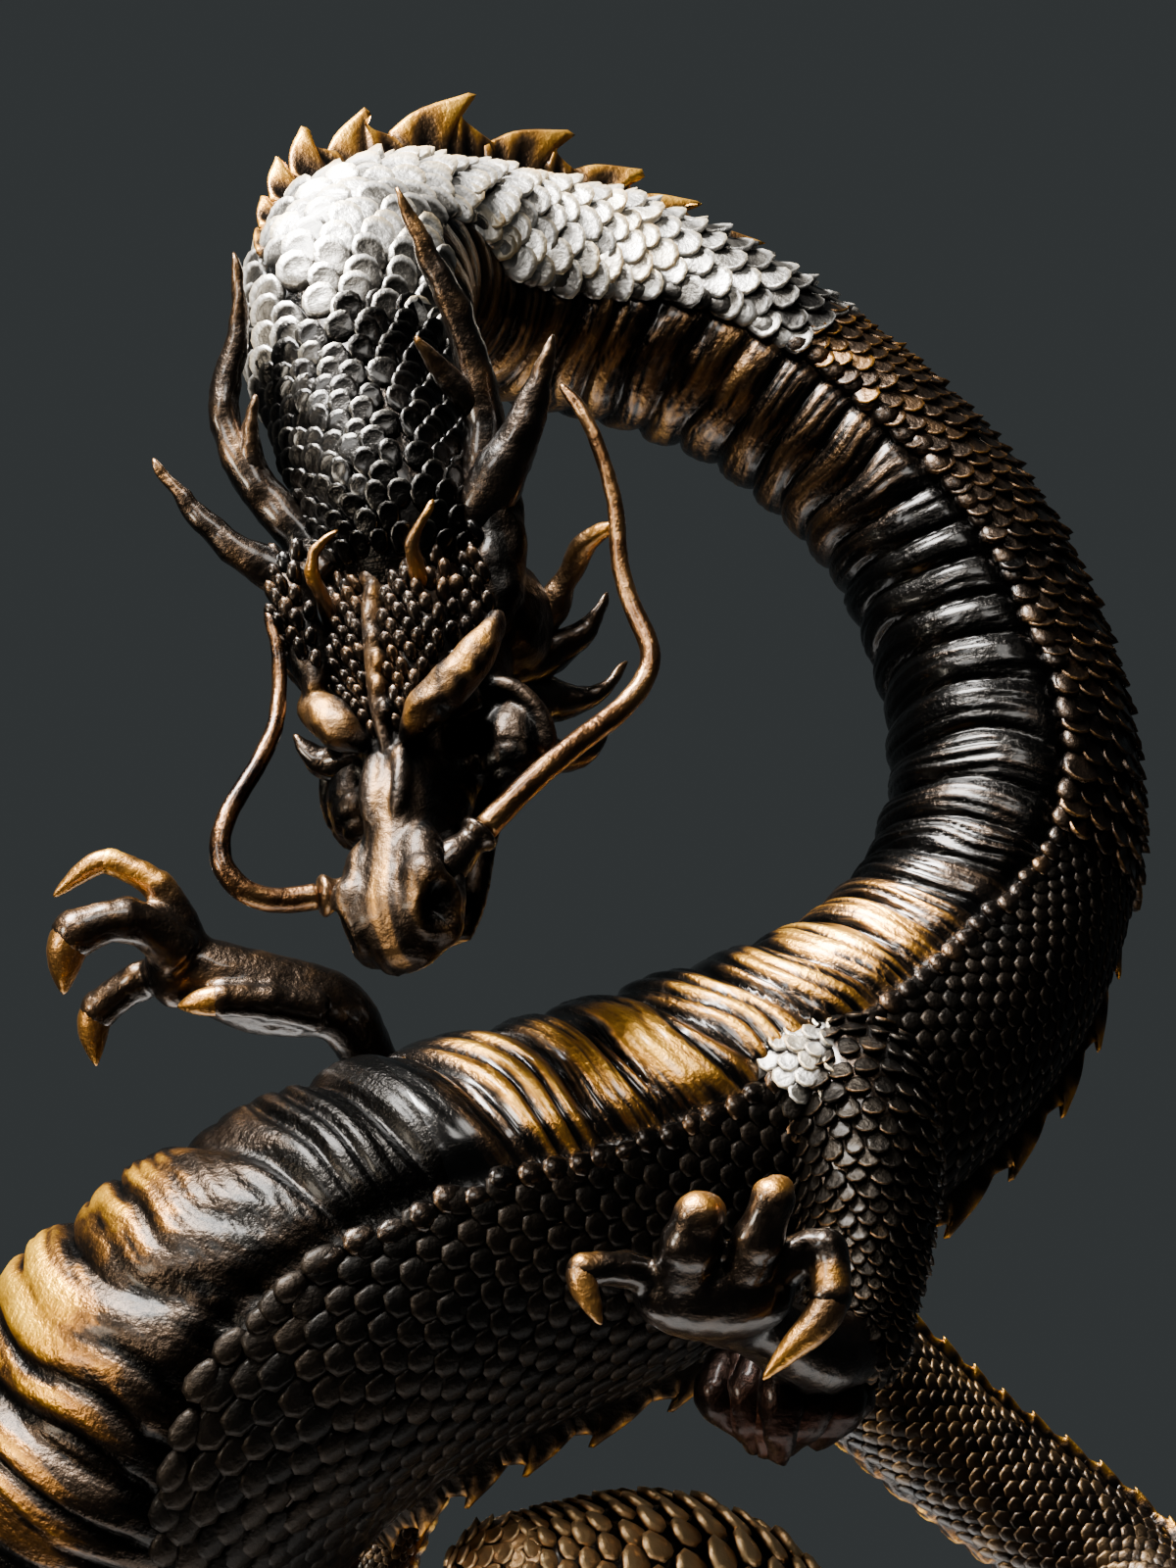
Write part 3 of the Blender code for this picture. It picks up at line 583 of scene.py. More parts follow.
def fused(pool, voxel):
    """The shapes of the pool as one smoothed skin: points, faces and edges."""
    mesh = bpy.data.meshes.new("fused")
    mesh.from_pydata(np.concatenate(pool.points).tolist(), [], pool.faces)
    obj = bpy.data.objects.new("fused", mesh)
    bpy.context.scene.collection.objects.link(obj)
    remesh = obj.modifiers.new("skin", "REMESH")
    remesh.mode = "VOXEL"
    remesh.voxel_size = voxel
    graph = bpy.context.evaluated_depsgraph_get()
    made = bpy.data.meshes.new_from_object(obj.evaluated_get(graph))
    bpy.data.objects.remove(obj)
    points = np.empty(len(made.vertices) * 3)
    made.vertices.foreach_get("co", points)
    points = points.reshape(-1, 3)
    faces = [tuple(face.vertices) for face in made.polygons]
    edges = np.empty(len(made.edges) * 2, np.int64)
    made.edges.foreach_get("vertices", edges)
    edges = edges.reshape(-1, 2)
    bpy.data.meshes.remove(made)
    for strength in (0.5, -0.51) * SMOOTHING_PASSES:
        points = points + strength * (around(points, edges) - points)
    return points, faces, edges


def around(values, edges):
    """The mean of each point's neighbours."""
    total = np.zeros_like(values)
    count = np.zeros(len(values))
    for a, b in ((0, 1), (1, 0)):
        np.add.at(total, edges[:, a], values[edges[:, b]])
        np.add.at(count, edges[:, a], 1)
    return total / count.reshape((-1,) + (1,) * (values.ndim - 1))


def point_normals(points, faces):
    quads = np.array([face if len(face) == 4 else (*face, face[2]) for face in faces])
    cross = np.cross(points[quads[:, 2]] - points[quads[:, 0]], points[quads[:, 3]] - points[quads[:, 1]])
    flat = np.linalg.norm(cross, axis=1) < 1e-9
    cross[flat] = np.cross(points[quads[flat, 1]] - points[quads[flat, 0]],
                           points[quads[flat, 2]] - points[quads[flat, 0]])
    normals = np.zeros_like(points)
    for i in range(4):
        np.add.at(normals, quads[:, i], cross)
    return normalised(normals)


def convexity(points, faces, edges):
    """Positive on ridges and knuckles, negative in folds."""
    normals = point_normals(points, faces)
    bend = ((points - around(points, edges)) * normals).sum(1)
    for _ in range(SMOOTHING_PASSES):
        bend = 0.4 * bend + 0.6 * around(bend, edges)
    return bend


# The body

def spine_frames(count):
    rows = smooth_rows([(*place, radius, *back, rise) for place, radius, back, rise in SPINE], count)
    tangents = normalised(np.gradient(rows[:, :3], axis=0))
    backs = rows[:, 4:7] - (rows[:, 4:7] * tangents).sum(axis=1)[:, None] * tangents
    backs = normalised(backs)
    return rows[:, :3], backs, np.cross(tangents, backs), rows[:, 3], rows[:, 7]


PLACE, BACK, SIDE, RADIUS, RISE = range(5)
DENSE = 3000
SPINE_LENGTH = line_length(smooth_rows([row[0] for row in SPINE], DENSE))
dense = spine_frames(DENSE)
along_dense = np.linspace(0.0, SPINE_LENGTH, DENSE)
plate_dense = np.concatenate([[0.0], np.cumsum(
    np.diff(along_dense) / (PLATE_BASE + PLATE_GROWTH * dense[RADIUS][:-1]))])


def at_spine(along, index):
    """One of the spine's rows of values at distances along it."""
    values = dense[index]
    if values.ndim == 1:
        return np.interp(along, along_dense, values)
    return np.stack([np.interp(along, along_dense, values[:, i]) for i in range(3)], -1)


def body_surface(along, degrees, lift=0.0):
    """Points on the body's round, at distances along it and degrees from the back."""
    angle = np.radians(degrees)[..., None]
    radius = (at_spine(along, RADIUS) + lift)[..., None]
    ray = np.cos(angle) * at_spine(along, BACK) + np.sin(angle) * at_spine(along, SIDE)
    return at_spine(along, PLACE) + radius * normalised(ray)


def belly_half_angle(along, side):
    """How far the plates reach from the belly's middle; side is positive on the near side."""
    near = np.interp(along, *NEAR_BELLY)
    far = np.interp(along, *FAR_BELLY)
    return np.where(np.asarray(side) > 0, near, far)


def body_rows():
    rows = [0.0]
    starts = np.array([start for start, _ in BODY_STEPS])
    while rows[-1] < SPINE_LENGTH:
        step = BODY_STEPS[int(np.searchsorted(starts, rows[-1], "right")) - 1][1]
        rows.append(rows[-1] + step)
    rows[-1] = SPINE_LENGTH
    return np.array(rows)


def fold_lines(signed, plate, within):
    """The grooves that run along inside each plate, and the finer lines between them."""
    ridges = 3.2 + 0.9 * value_noise(plate * 2.9 + 0.5, np.zeros_like(plate), 9)
    sway = 1.1 * (value_noise(signed * 3.1 + 9, plate * 1.3, 3) - 0.5)
    crease = value_noise(plate * 3.7 + 0.5, signed * 1.1 + 5, 2)
    ladder = ridges * within + crease + sway
    line = np.floor(ladder + 0.5)
    cloud = value_noise(signed * 2.3 + 11 + 3.7 * line, plate * 2.1 + line * 1.7, 4)
    strength = 0.15 + 0.85 * smoothstep(0.30, 0.62, cloud)
    groove = np.exp(-(np.abs(ladder - line) / 0.17) ** 2) * strength * smoothstep(0.03, 0.14, within)
    ladder = 2.7 * ladder + 1.5 * value_noise(signed * 5 + 3, plate * 1.9, 13)
    line = np.floor(ladder + 0.5)
    strength = smoothstep(0.45, 0.75, value_noise(signed * 4.1 + 2 + line, plate * 1.7, 14))
    return groove, np.exp(-(np.abs(ladder - line) / 0.22) ** 2) * strength


def belly_wear(along, degrees, share, here, fold, groove, hair):
    """How polished the skin is, most on the folds' crests and least in the lines, with painted shade
    towards the far side, in stretches along the spine and in the dip before the gold, and painted light on
    the band.
    """
    signed = share * np.sign(degrees)
    patch = value_noise(signed * 1.4 + 2, along / 9, 10) - 0.45
    wear = here * ((0.14 + 0.60 * fold ** 1.4) * (1 - 0.35 * smoothstep(0.55, 1.0, share))
                   - 0.75 * groove - 0.30 * hair + 0.30 * patch)
    # Painted shade towards the far side of the band.
    far_shade = np.interp(along, *FAR_SHADE)
    from_belly = 180.0 - np.abs(degrees)
    turned = np.where(degrees > 0, -from_belly, from_belly)
    wear = wear * smoothstep(far_shade + 10.0, far_shade - 10.0, turned)
    # Painted light and painted shade: the plates' brightness along the spine.
    tone = np.interp(along + 6.0 * signed, *BELLY_PAINTED_LIGHT)
    wear = wear * tone
    # Painted shade: past 385 the near side of the plates goes darker, and in the dip from 386 to 424 it
    # goes nearly black.
    wear = wear * (1 - 0.70 * smoothstep(0.25, 0.95, signed) * smoothstep(385.0, 405.0, along))
    wear = wear * (1 - 0.90 * smoothstep(0.05, 0.45, signed)
                   * smoothstep(386.0, 393.0, along) * smoothstep(424.0, 408.0, along))
    # Painted shade: where the painted light along the spine is low, the plates are pushed darker still,
    # less so before 300.
    dark = np.where(along < 300.0, 0.20, 0.35) * here * smoothstep(0.45, 0.10, tone)
    return np.maximum(wear, 0.0) + (1 - here) * 0.02 - dark


def body():
    """The body's skin: the belly's folded plates, and the ground under the scales."""
    rows = body_rows()
    near, far = 180.0 - BELLY_HALF_ANGLE, 180.0 + BELLY_HALF_ANGLE
    degrees = np.concatenate([
        np.linspace(0.0, near, BACK_COLUMNS // 2, endpoint=False),
        np.linspace(near, far, BELLY_COLUMNS, endpoint=False),
        np.linspace(far, 360.0, BACK_COLUMNS // 2, endpoint=False)])[None, :]
    degrees = np.where(degrees > 180, degrees - 360, degrees)
    along, degrees = np.broadcast_arrays(rows[:, None], degrees)
    from_belly = 180.0 - np.abs(degrees)
    share = np.clip(from_belly / belly_half_angle(along, degrees), 0.0, 1.0)
    signed = share * np.sign(degrees)
    radius = at_spine(along, RADIUS)
    broad = smoothstep(17.0, 29.0, radius)
    wander = (value_noise(signed * 2.2 + 7, along / 16, 1) - 0.5) * 0.45
    skew = np.interp(along, *FOLD_SKEW) * share * np.where(signed > 0, share ** 0.5, -0.4)
    phase = np.interp(along, along_dense, plate_dense) + skew + wander
    plate = np.floor(phase)
    within = phase - plate
    fold = (1.0 - np.abs(2.0 * within ** 0.75 - 1.0) ** 2.6) ** 0.75
    here = smoothstep(1.0, 0.93, share)
    rounding = 1.0 - 0.55 * smoothstep(0.62, 0.98, share)
    depth = PLATE_DEPTH * radius + 0.3
    groove, hair = fold_lines(signed, plate, within)
    carve = depth * (0.2 + 0.24 * broad) * groove + 0.12 * depth * hair
    bulge = (value_noise(signed * 2.6 + 3, plate * 5.3, 5) - 0.5) * 0.6
    carve = carve * (0.45 + 0.55 * smoothstep(150.0, 225.0, along))
    height = here * (depth * rounding * (fold * (1 + bulge) - 0.5) - carve) - 0.35 * (share >= 1)
    height = height - 0.05 * radius * smoothstep(0.86, 0.93, share) * smoothstep(1.0, 0.97, share)
    points = body_surface(along, degrees, height)
    pool = Pool()
    wear = belly_wear(along, degrees, share, here, fold, groove, hair)
    pool.add(points.reshape(-1, 3), outward_rings(points), wear.reshape(-1))
    obj = pool.object("dragon_body", "belly_bronze")
    obj.data.materials.append(metals["lit_gold_bronze"])
    obj.data.materials.append(metals["shaded_inner_bronze"])
    # Plates past GOLD_FROM take the lit gold metal, painted light, and those before INNER_UNTIL the shaded
    # metal, painted shade.
    place = rows[[face[0] // points.shape[1] for face in pool.faces]]
    zone = 1 * (place > GOLD_FROM) + 2 * (place < INNER_UNTIL)
    obj.data.polygons.foreach_set("material_index", zone.astype(np.int32))
    add_layer(obj.data, "along", phase * 11.0)
    add_layer(obj.data, "round", signed * math.radians(BELLY_HALF_ANGLE) * radius)
    return obj


def outward_rings(rings):
    faces = skin(rings)
    first, second = rings[0, 0], rings[0, 1]
    normal = np.cross(second - first, rings[1, 0] - first)
    return faces if np.dot(normal, first - rings[0].mean(0)) > 0 else [face[::-1] for face in faces]


def scale_shape(sides, kind):
    """A scale as a low shell, domed or dished: foot, rim, inner ring and crown."""
    turn = np.linspace(0.0, math.tau, sides, endpoint=False)
    across = np.sin(turn)
    along = -np.cos(turn)
    across = np.sign(across) * np.abs(across) ** 0.92 * np.where(along < 0, 0.86, 1.0)
    along = np.sign(along) * np.abs(along) ** 0.9
    free = smoothstep(-0.3, 0.8, along)
    foot = np.stack([across * 0.97, along * 0.98, np.full(sides, -0.9)], 1)
    if kind == "dished":
        rim = np.stack([across * 0.97, along * 0.97, 0.7 * free], 1)
        inner = np.stack([across * 0.70, along * 0.70, 0.25 - 0.10 * free], 1)
        points = np.vstack([foot, rim, inner, [(0.0, -0.15, 0.36)]])
        wear = np.concatenate([np.full(sides, 0.0), 0.10 + 0.50 * free, 0.16 + 0.04 * free, [0.24]])
    else:
        rim = np.stack([across, along, np.zeros(sides)], 1)
        inner = np.stack([across * 0.72, along * 0.72, np.full(sides, 0.42)], 1)
        points = np.vstack([foot, rim, inner, [(0.0, 0.05, 0.56)]])
        wear = np.concatenate([np.full(sides, 0.0), 0.16 + 0.22 * free, 0.14 + 0.10 * free, [0.18]])
    faces = [tuple(range(sides))]
    for j in range(sides):
        k = (j + 1) % sides
        faces.append((sides + j, sides + k, k, j))
        faces.append((2 * sides + j, 2 * sides + k, sides + k, sides + j))
        faces.append((3 * sides, 2 * sides + k, 2 * sides + j))
    return points, faces, wear


def lay_scales(pool, centres, ahead, normals, half_width, half_length, thick, lift, sides, bright, kind):
    """Scales on a surface, each leaning up towards its free end, which points ahead."""
    uneven = 1.7 if kind == "dished" else 1.0
    shape, faces, wear = scale_shape(sides, kind)
    crown = shape[3 * sides]
    if np.cross(shape[2 * sides] - crown, shape[2 * sides + 1] - crown)[2] > 0:
        faces = [face[::-1] for face in faces]
    count = len(centres)
    jitter = np.clip(rng.normal(0.0, uneven, (count, 6)), -2.5, 2.5)
    ahead = normalised(ahead - (ahead * normals).sum(1)[:, None] * normals)
    across = np.cross(ahead, normals)
    ahead = normalised(ahead + 0.06 * jitter[:, :1] * across)
    across = np.cross(ahead, normals)
    centres = centres + 0.06 * half_length[:, None] * jitter[:, 1:2] * ahead
    centres = centres + 0.05 * half_width[:, None] * jitter[:, 2:3] * across
    half_width = half_width * (1 + 0.06 * jitter[:, 3])
    half_length = half_length * (1 + 0.06 * jitter[:, 4])
    sideways = shape[None, :, 0] * half_width[:, None]
    onward = shape[None, :, 1] * half_length[:, None]
    raised = shape[None, :, 2] * thick[:, None] + lift[:, None] * (0.5 * shape[None, :, 1] + 0.42)
    raised = raised * (1 + 0.12 * jitter[:, 5:6])
    raised = raised - 0.16 * sideways ** 2 / half_width[:, None]
    points = (centres[:, None] + sideways[..., None] * across[:, None] + onward[..., None] * ahead[:, None]
              + raised[..., None] * normals[:, None])
    tone = rng.normal(0.0, 0.07, (count, 1)) + bright
    pool.add_many(points, faces, wear[None, :] + tone * (wear > 0)[None, :])


def body_scales(pool, start, end, columns, stretch, sides, bright, kind="domed"):
    """Quincunx rows from start to end along the spine; bright gives tones at distances along it, painted
    light and painted shade.
    """
    along = start
    row = 0
    centres, angles, widths, lengths = [], [], [], []
    while along < end:
        radius = float(at_spine(along, RADIUS))
        spacing = 2 * SCALED_HALF_ANGLE / columns
        width = math.radians(spacing) * radius
        shift = 0.5 * (row % 2)
        for column in range(-9, columns + 10):
            angle = -SCALED_HALF_ANGLE + (column + shift) * spacing
            limit = 179.0 - float(belly_half_angle(along, angle))
            if 5.0 < abs(angle) <= limit:
                centres.append(along)
                angles.append(angle)
                widths.append(width)
                lengths.append(stretch * width)
        along += stretch * width * 0.62
        row += 1
    tone = np.interp(centres, *bright)
    raised = 1.5 if kind == "dished" else 1.0
    scales_at(pool, centres, angles, widths, lengths, 0.55, sides, 0.13 * raised, 0.17 * raised,
              tone[:, None], kind)


def scales_at(pool, along, degrees, widths, lengths, wide, sides, thick, lift, bright, kind):
    """Scales at places along and round the body."""
    along, degrees = np.array(along, float), np.array(degrees, float)
    widths, lengths = np.array(widths, float), np.array(lengths, float)
    here = body_surface(along, degrees)
    ahead = body_surface(along + 0.5, degrees) - body_surface(along - 0.5, degrees)
    stretch = np.clip(np.linalg.norm(ahead, axis=1), 0.25, 1.5)
    beside = body_surface(along, degrees + 1.0) - body_surface(along, degrees - 1.0)
    normals = normalised(np.cross(ahead, beside))
    inward = ((here - at_spine(along, PLACE)) * normals).sum(1) < 0
    normals[inward] *= -1
    half_lengths = 0.36 * lengths * (0.4 + 0.6 * stretch) * 1.55
    lay_scales(pool, here - 0.1 * normals, ahead, normals, wide * widths, half_lengths,
               thick * widths, lift * widths, sides, bright, kind)


def border_scales(pool, start, end, pitch_share):
    """One row of larger domed scales on each side, where the belly's plates end."""
    for side in (-1, 1):
        along = start
        places, widths = [], []
        while along < end:
            pitch = pitch_share * (2.6 + 0.07 * float(at_spine(along, RADIUS)))
            places.append(along)
            widths.append(pitch)
            along += pitch * 0.9
        reach = belly_half_angle(np.array(places), side)
        angles = side * (180.0 - reach + rng.normal(0, 0.7, len(places)))
        scales_at(pool, places, angles, widths, widths, 0.52, 10, 0.26, 0.2, 0.0, "domed")


def scales():
    """The body's scales, each stretch with its own metal; the tones are painted light and painted shade, as
    brightness at distances along it.
    """
    # Painted light and painted shade: the neck's top, under the lamp, is painted lighter, its lower end by
    # the head and the arch beyond are painted darker, and the trunk and tail darker.
    neck_painted_light = ((0.0, 40.0, 48.0, 70.0, 88.0, 140.0, 155.0, 170.0),
                  (-0.16, -0.08, -0.04, 0.08, 0.18, 0.18, 0.02, -0.10))
    arch_painted_light = ((168.0, 185.0, 215.0, 270.0), (0.14, 0.05, -0.04, -0.06))
    trunk_painted_shade, tail_painted_shade = ((0.0,), (-0.12,)), ((0.0,), (-0.02,))
    nape, neck, arch, border, trunk, tail = (Pool() for _ in range(6))
    body_scales(nape, 8.0, 46.0, 11, 1.0, 12, neck_painted_light, "dished")
    body_scales(neck, 46.0, 172.0, 10, 0.92, 12, neck_painted_light, "dished")
    body_scales(arch, 170.0, 268.0, 14, 1.0, 10, arch_painted_light, "dished")
    border_scales(nape, 12.0, 60.0, 1.15)
    border_scales(neck, 60.0, 170.0, 1.15)
    border_scales(arch, 170.0, 268.0, 1.15)
    body_scales(trunk, 266.0, 560.0, 23, 1.05, 8, trunk_painted_shade)
    border_scales(border, 266.0, 405.0, 0.92)
    border_scales(trunk, 405.0, 560.0, 0.92)
    body_scales(tail, 558.0, 700.0, 16, 1.1, 7, tail_painted_shade)
    body_scales(tail, 698.0, SPINE_LENGTH - 10.0, 12, 1.1, 7, tail_painted_shade)
    for name, pool, metal in (
            ("nape", nape, "shaded_nape_bronze"), ("neck", neck, "sheen_neck_bronze"), ("arch", arch, "arch_bronze"),
            ("border", border, "patinated_bronze"), ("trunk", trunk, "shaded_flank_bronze"),
            ("tail", tail, "tail_bronze")):
        pool.object(f"dragon_scales_{name}", metal)


def crest():
    """The fin along the back: a thin blade with spikes that lean to the tail."""
    tips = list(CREST_TIPS)
    along = CREST_FOLLOWS
    while along < SPINE_LENGTH - 12.0:
        rise = float(at_spine(along, RISE))
        tips.append((along, 1.05 * rise, 0.75 * rise))
        along += 4.2 + 0.28 * float(at_spine(along, RADIUS))
    neck, trunk = Pool(), Pool()
    previous = tips[0][0] - 6.0
    for order, (tip, rise, lean) in enumerate(tips):
        foot_end = tip + 0.55 * (tips[order + 1][0] - tip) if order + 1 < len(tips) else tip + 3.0
        # Spikes in the shadowed stretch go to the darker pool: painted shade.
        pool = trunk if SHADED_CREST[0] < tip < SHADED_CREST[1] else neck
        blade(pool, previous, tip, foot_end, rise, lean, order)
        previous = foot_end - 0.18 * (foot_end - tip) - 0.3
    neck.object("dragon_crest", "patinated_bronze")
    trunk.object("dragon_crest_low", "shaded_flank_bronze")


def blade(pool, start, tip, end, rise, lean, order):
    """One spike with its web: closed, thick at the foot and thin at the edge."""
    steps = 20
    share = np.linspace(0.0, 1.0, steps)
    base = start + (end - start) * share
    low = 0.40 * rise + 0.2
    peak = (tip - start) / (end - start)
    up = np.where(share < peak, low + (rise - low) * (share / peak) ** 1.15, 0.0)
    down = np.clip((share - peak) / max(1e-6, 1 - peak), 0, 1)
    up = np.where(share >= peak, rise - (rise - low) * down ** 0.5, up)
    near = np.exp(-((share - peak) / 0.16) ** 2)
    top_along = base + lean * near * (0.55 + 0.45 * (share < peak + 0.05))
    levels = np.array([-1.2, 0.0, 0.35, 0.7, 0.93, 1.0])
    thick = np.array([1.5, 1.25, 0.8, 0.55, 0.38, 0.0]) * (0.75 + 0.05 * rise)
    wave = np.sin(share * (end - start) * 1.9 + order)
    fold = 0.36 * wave * min(1.0, rise / 6.0)
    rings = []
    for i in range(steps):
        side_a, side_b = [], []
        for level, width in zip(levels, thick):
            height = level * up[i] if level > 0 else level
            where = base[i] + (top_along[i] - base[i]) * max(0.0, level) ** 1.4
            where = np.array([where])
            middle = body_surface(where, np.array([0.0]), height)[0]
            side = at_spine(where, SIDE)[0]
            bend = fold[i] * math.sin(math.pi * min(1.0, max(0.0, level)))
            side_a.append(middle + (width + bend) * side)
            side_b.append(middle + (-width + bend) * side)
        rings.append(side_a + side_b[-2::-1])
    rings = np.array(rings)
    wear = np.tile(np.array([0.04, 0.10, 0.28, 0.52, 0.78, 0.9, 0.78, 0.52, 0.28, 0.10, 0.04]), steps)
    wear = wear + np.repeat(0.20 * near + 0.22 * wave, rings.shape[1]) * (wear > 0.2)
    flat = rings.reshape(-1, 3)
    pool.add(flat, outward(flat, skin(rings)), wear)


# The head

# Forward, then the ridge's height and its knobs' height there.
RIDGE = np.array(((-17, 5.8, 6.2), (-8, 9.4, 10.0), (0, 11.0, 11.8), (8, 11.1, 11.9), (16, 10.0, 10.6),
                  (24, 7.6, 8.2), (31, 5.2, 5.8)))
# Swellings on both sides: place, with across on the right side, and radii.
SIDE_SWELLINGS = (
    ((5.2, 55.0, 0.4), (4.8, 5.4, 4.4)), ((5.8, 52.2, 3.2), (3.4, 3.6, 2.8)),
    ((4.6, 57.0, -3.2), (4.2, 3.4, 2.6)), ((4.4, 48.0, 2.0), (3.6, 6.0, 3.2)),
    ((12.5, 25, -8.5), (6.0, 8.5, 6.0)), ((11.5, 2, -6), (6.5, 9.5, 9.0)),
    ((9.4, 22.5, 1.6), (3.4, 3.9, 3.3)), ((2.0, 36.0, 5.4), (2.2, 6.5, 1.6)),
)
LIP = ((7.4, 48.0, -3.0), (7.8, 52.0, -3.2), (6.8, 56.0, -3.8), (4.0, 58.4, -4.4), (0.0, 59.6, -4.6))
CHEEK = ((8.0, 19.0, -3.0), (13.0, 17.5, -2.6), (17.0, 20.5, -5.0), (18.2, 26.5, -8.5),
         (15.5, 32.5, -10.5))
# The lumps of hair either side of the head, as tubes in the figure's coordinates.
HAIR_ROOTS = (
    (((-12.7, -47, 251), (-13.2, -50, 241), (-15.0, -53, 232), (-18.0, -57, 226)), (3.2, 4.4, 4.6, 3.0)),
    (((-43.5, -46, 240), (-42.8, -50, 233), (-41.0, -54, 226), (-38.5, -58, 219)), (2.4, 3.2, 3.4, 2.0)),
)


def head_shapes():
    """The head's sections, swellings and ridges, before they are fused."""
    pool = Pool()
    pool.add(*head_loft(SKULL_SECTIONS, 60), 0)
    pool.add(*head_loft(JAW_SECTIONS, 30), 0)
    ridge = [head_point(0.5 * math.sin(0.7 * forward), forward, up) for forward, up, _ in RIDGE]
    pool.add(*tube(ridge, (0.9, 1.5, 1.2, 1.5, 1.2, 1.2, 0.8), 12, 60), 0)
    swellings = [((0, 3, -9), (9.5, 8.0, 6.5)), ((0, 57.5, -1), (5.5, 5.5, 4.2))]
    for side in (-1, 1):
        swellings += [((side * a, b, c), radii) for (a, b, c), radii in SIDE_SWELLINGS]
    for knob in range(12):
        forward = -16.0 + 3.7 * knob
        up = np.interp(forward, RIDGE[:, 0], RIDGE[:, 2])
        across = rng.normal(0, 0.5)
        swellings.append(((across, forward, up - 0.3), (1.2 + rng.normal(0, 0.2), 1.9, 1.5)))
    for line, radii in HAIR_ROOTS:
        lumpy, faces = tube(line, radii, 18, 40)
        pool.add(roughened(lumpy, 1.1, 4.5), faces, 0)
    for centre, radii in swellings:
        pool.add(*ellipsoid(head_point(*centre), radii, HEAD_AXES), 0)
    for side in (-1, 1):
        brow = [head_point(*place) for place in BROW_PADS[side]]
        pad, faces = tube(brow, (1.4, 2.8, 3.3, 3.0, 2.4, 1.4), 18, 30)
        pool.add(roughened(pad, 0.5, 4.0), faces, 0)
        lip = [head_point(side * a, b, c) for a, b, c in LIP]
        pool.add(*tube(lip, (1.0, 1.2, 1.3, 1.3, 1.2), 12, 20), 0)
        cheek = [head_point(side * a, b, c) for a, b, c in CHEEK]
        pool.add(*tube(cheek, (0.8, 1.3, 1.5, 1.4, 0.7), 12, 24), 0)
    return pool


def head_carving(points):
    """How far each point moves out: nostrils, eye sockets, the snout's groove, grain and cheek folds."""
    where = head_coordinates(points)
    across, forward, up = where.T
    push = np.zeros(len(points))
    for side in (-1, 1):
        nostril = where - np.array((8.0 * side, 57.0, 1.6))
        way = normalised(np.array([(0.66 * side, 0.62, 0.42)]))[0]
        deep = nostril @ way
        ring = np.linalg.norm((nostril - deep[:, None] * way) / np.array((1.0, 1.35, 1.0)), axis=1)
        push -= 4.0 * smoothstep(3.6, 2.2, ring) * (np.abs(deep) < 6)
        socket = np.linalg.norm((where - (9.6 * side, 27.0, -0.5)) / (4.5, 5.0, 3.0), axis=1)
        push -= 1.4 * smoothstep(1.1, 0.4, socket)
    bridge = smoothstep(30, 36, forward) * smoothstep(52, 44, forward) * (up > 1)
    groove = np.exp(-((across - 1.2) / 0.8) ** 2) * smoothstep(46, 34, forward)
    push -= 1.1 * bridge * groove
    push += 0.07 * grain(points, 0.55, 1.3)
    side_fold = smoothstep(5, 9, np.abs(across)) * smoothstep(56, 40, forward) * smoothstep(24, 32, forward)
    push -= 0.5 * side_fold * np.maximum(0, np.sin(forward * 1.9 + 0.25 * up)) ** 2
    return push


def head_wear(where, push, bend):
    across, forward, up = where.T
    top = smoothstep(-1.0, 4.5, up)
    snout = smoothstep(28, 34, forward)
    streak = value_noise(across * 1.1 + 20, forward * 0.16 + 20, 12) - 0.5
    tone = 0.05 + 0.10 * top * snout + 1.9 * bend + 0.5 * streak
    tone = tone + 0.08 * smoothstep(48, 56, forward)
    for side in (-1, 1):
        pads = np.array(BROW_PADS[side][1:-1]) + (0, 0, 1.5)
        way = np.min([np.linalg.norm(where - pad, axis=1) for pad in pads], axis=0)
        tone = tone + 0.42 * smoothstep(4.2, 2.2, way)
    crown = smoothstep(9.0, 11.5, up + 0.25 * np.maximum(0, forward - 12))
    tone = tone + 0.34 * smoothstep(2.2, 0.8, np.abs(across)) * crown
    tone = tone - 0.5 * smoothstep(-0.3, -2.2, push)
    # Painted shade: the right side of the snout, behind the nose, is darker.
    return tone - 0.25 * smoothstep(3.0, 7.0, across) * smoothstep(47, 42, forward) * snout


def head():
    """The head, and a tree of its faces that the forehead's scales are laid on."""
    points, faces, edges = fused(head_shapes(), VOXEL_HEAD)
    snout = smoothstep(40.0, 48.0, head_coordinates(points)[:, 1])[:, None]
    for _ in range(8):
        points = points + 0.5 * snout * (around(points, edges) - points)
    where, push = head_coordinates(points), head_carving(points)
    points = points + push[:, None] * point_normals(points, faces)
    pool = Pool()
    pool.add(points, faces, head_wear(where, push, convexity(points, faces, edges)))
    pool.object("dragon_head", "skull_bronze")
    return BVHTree.FromPolygons(points.tolist(), faces)


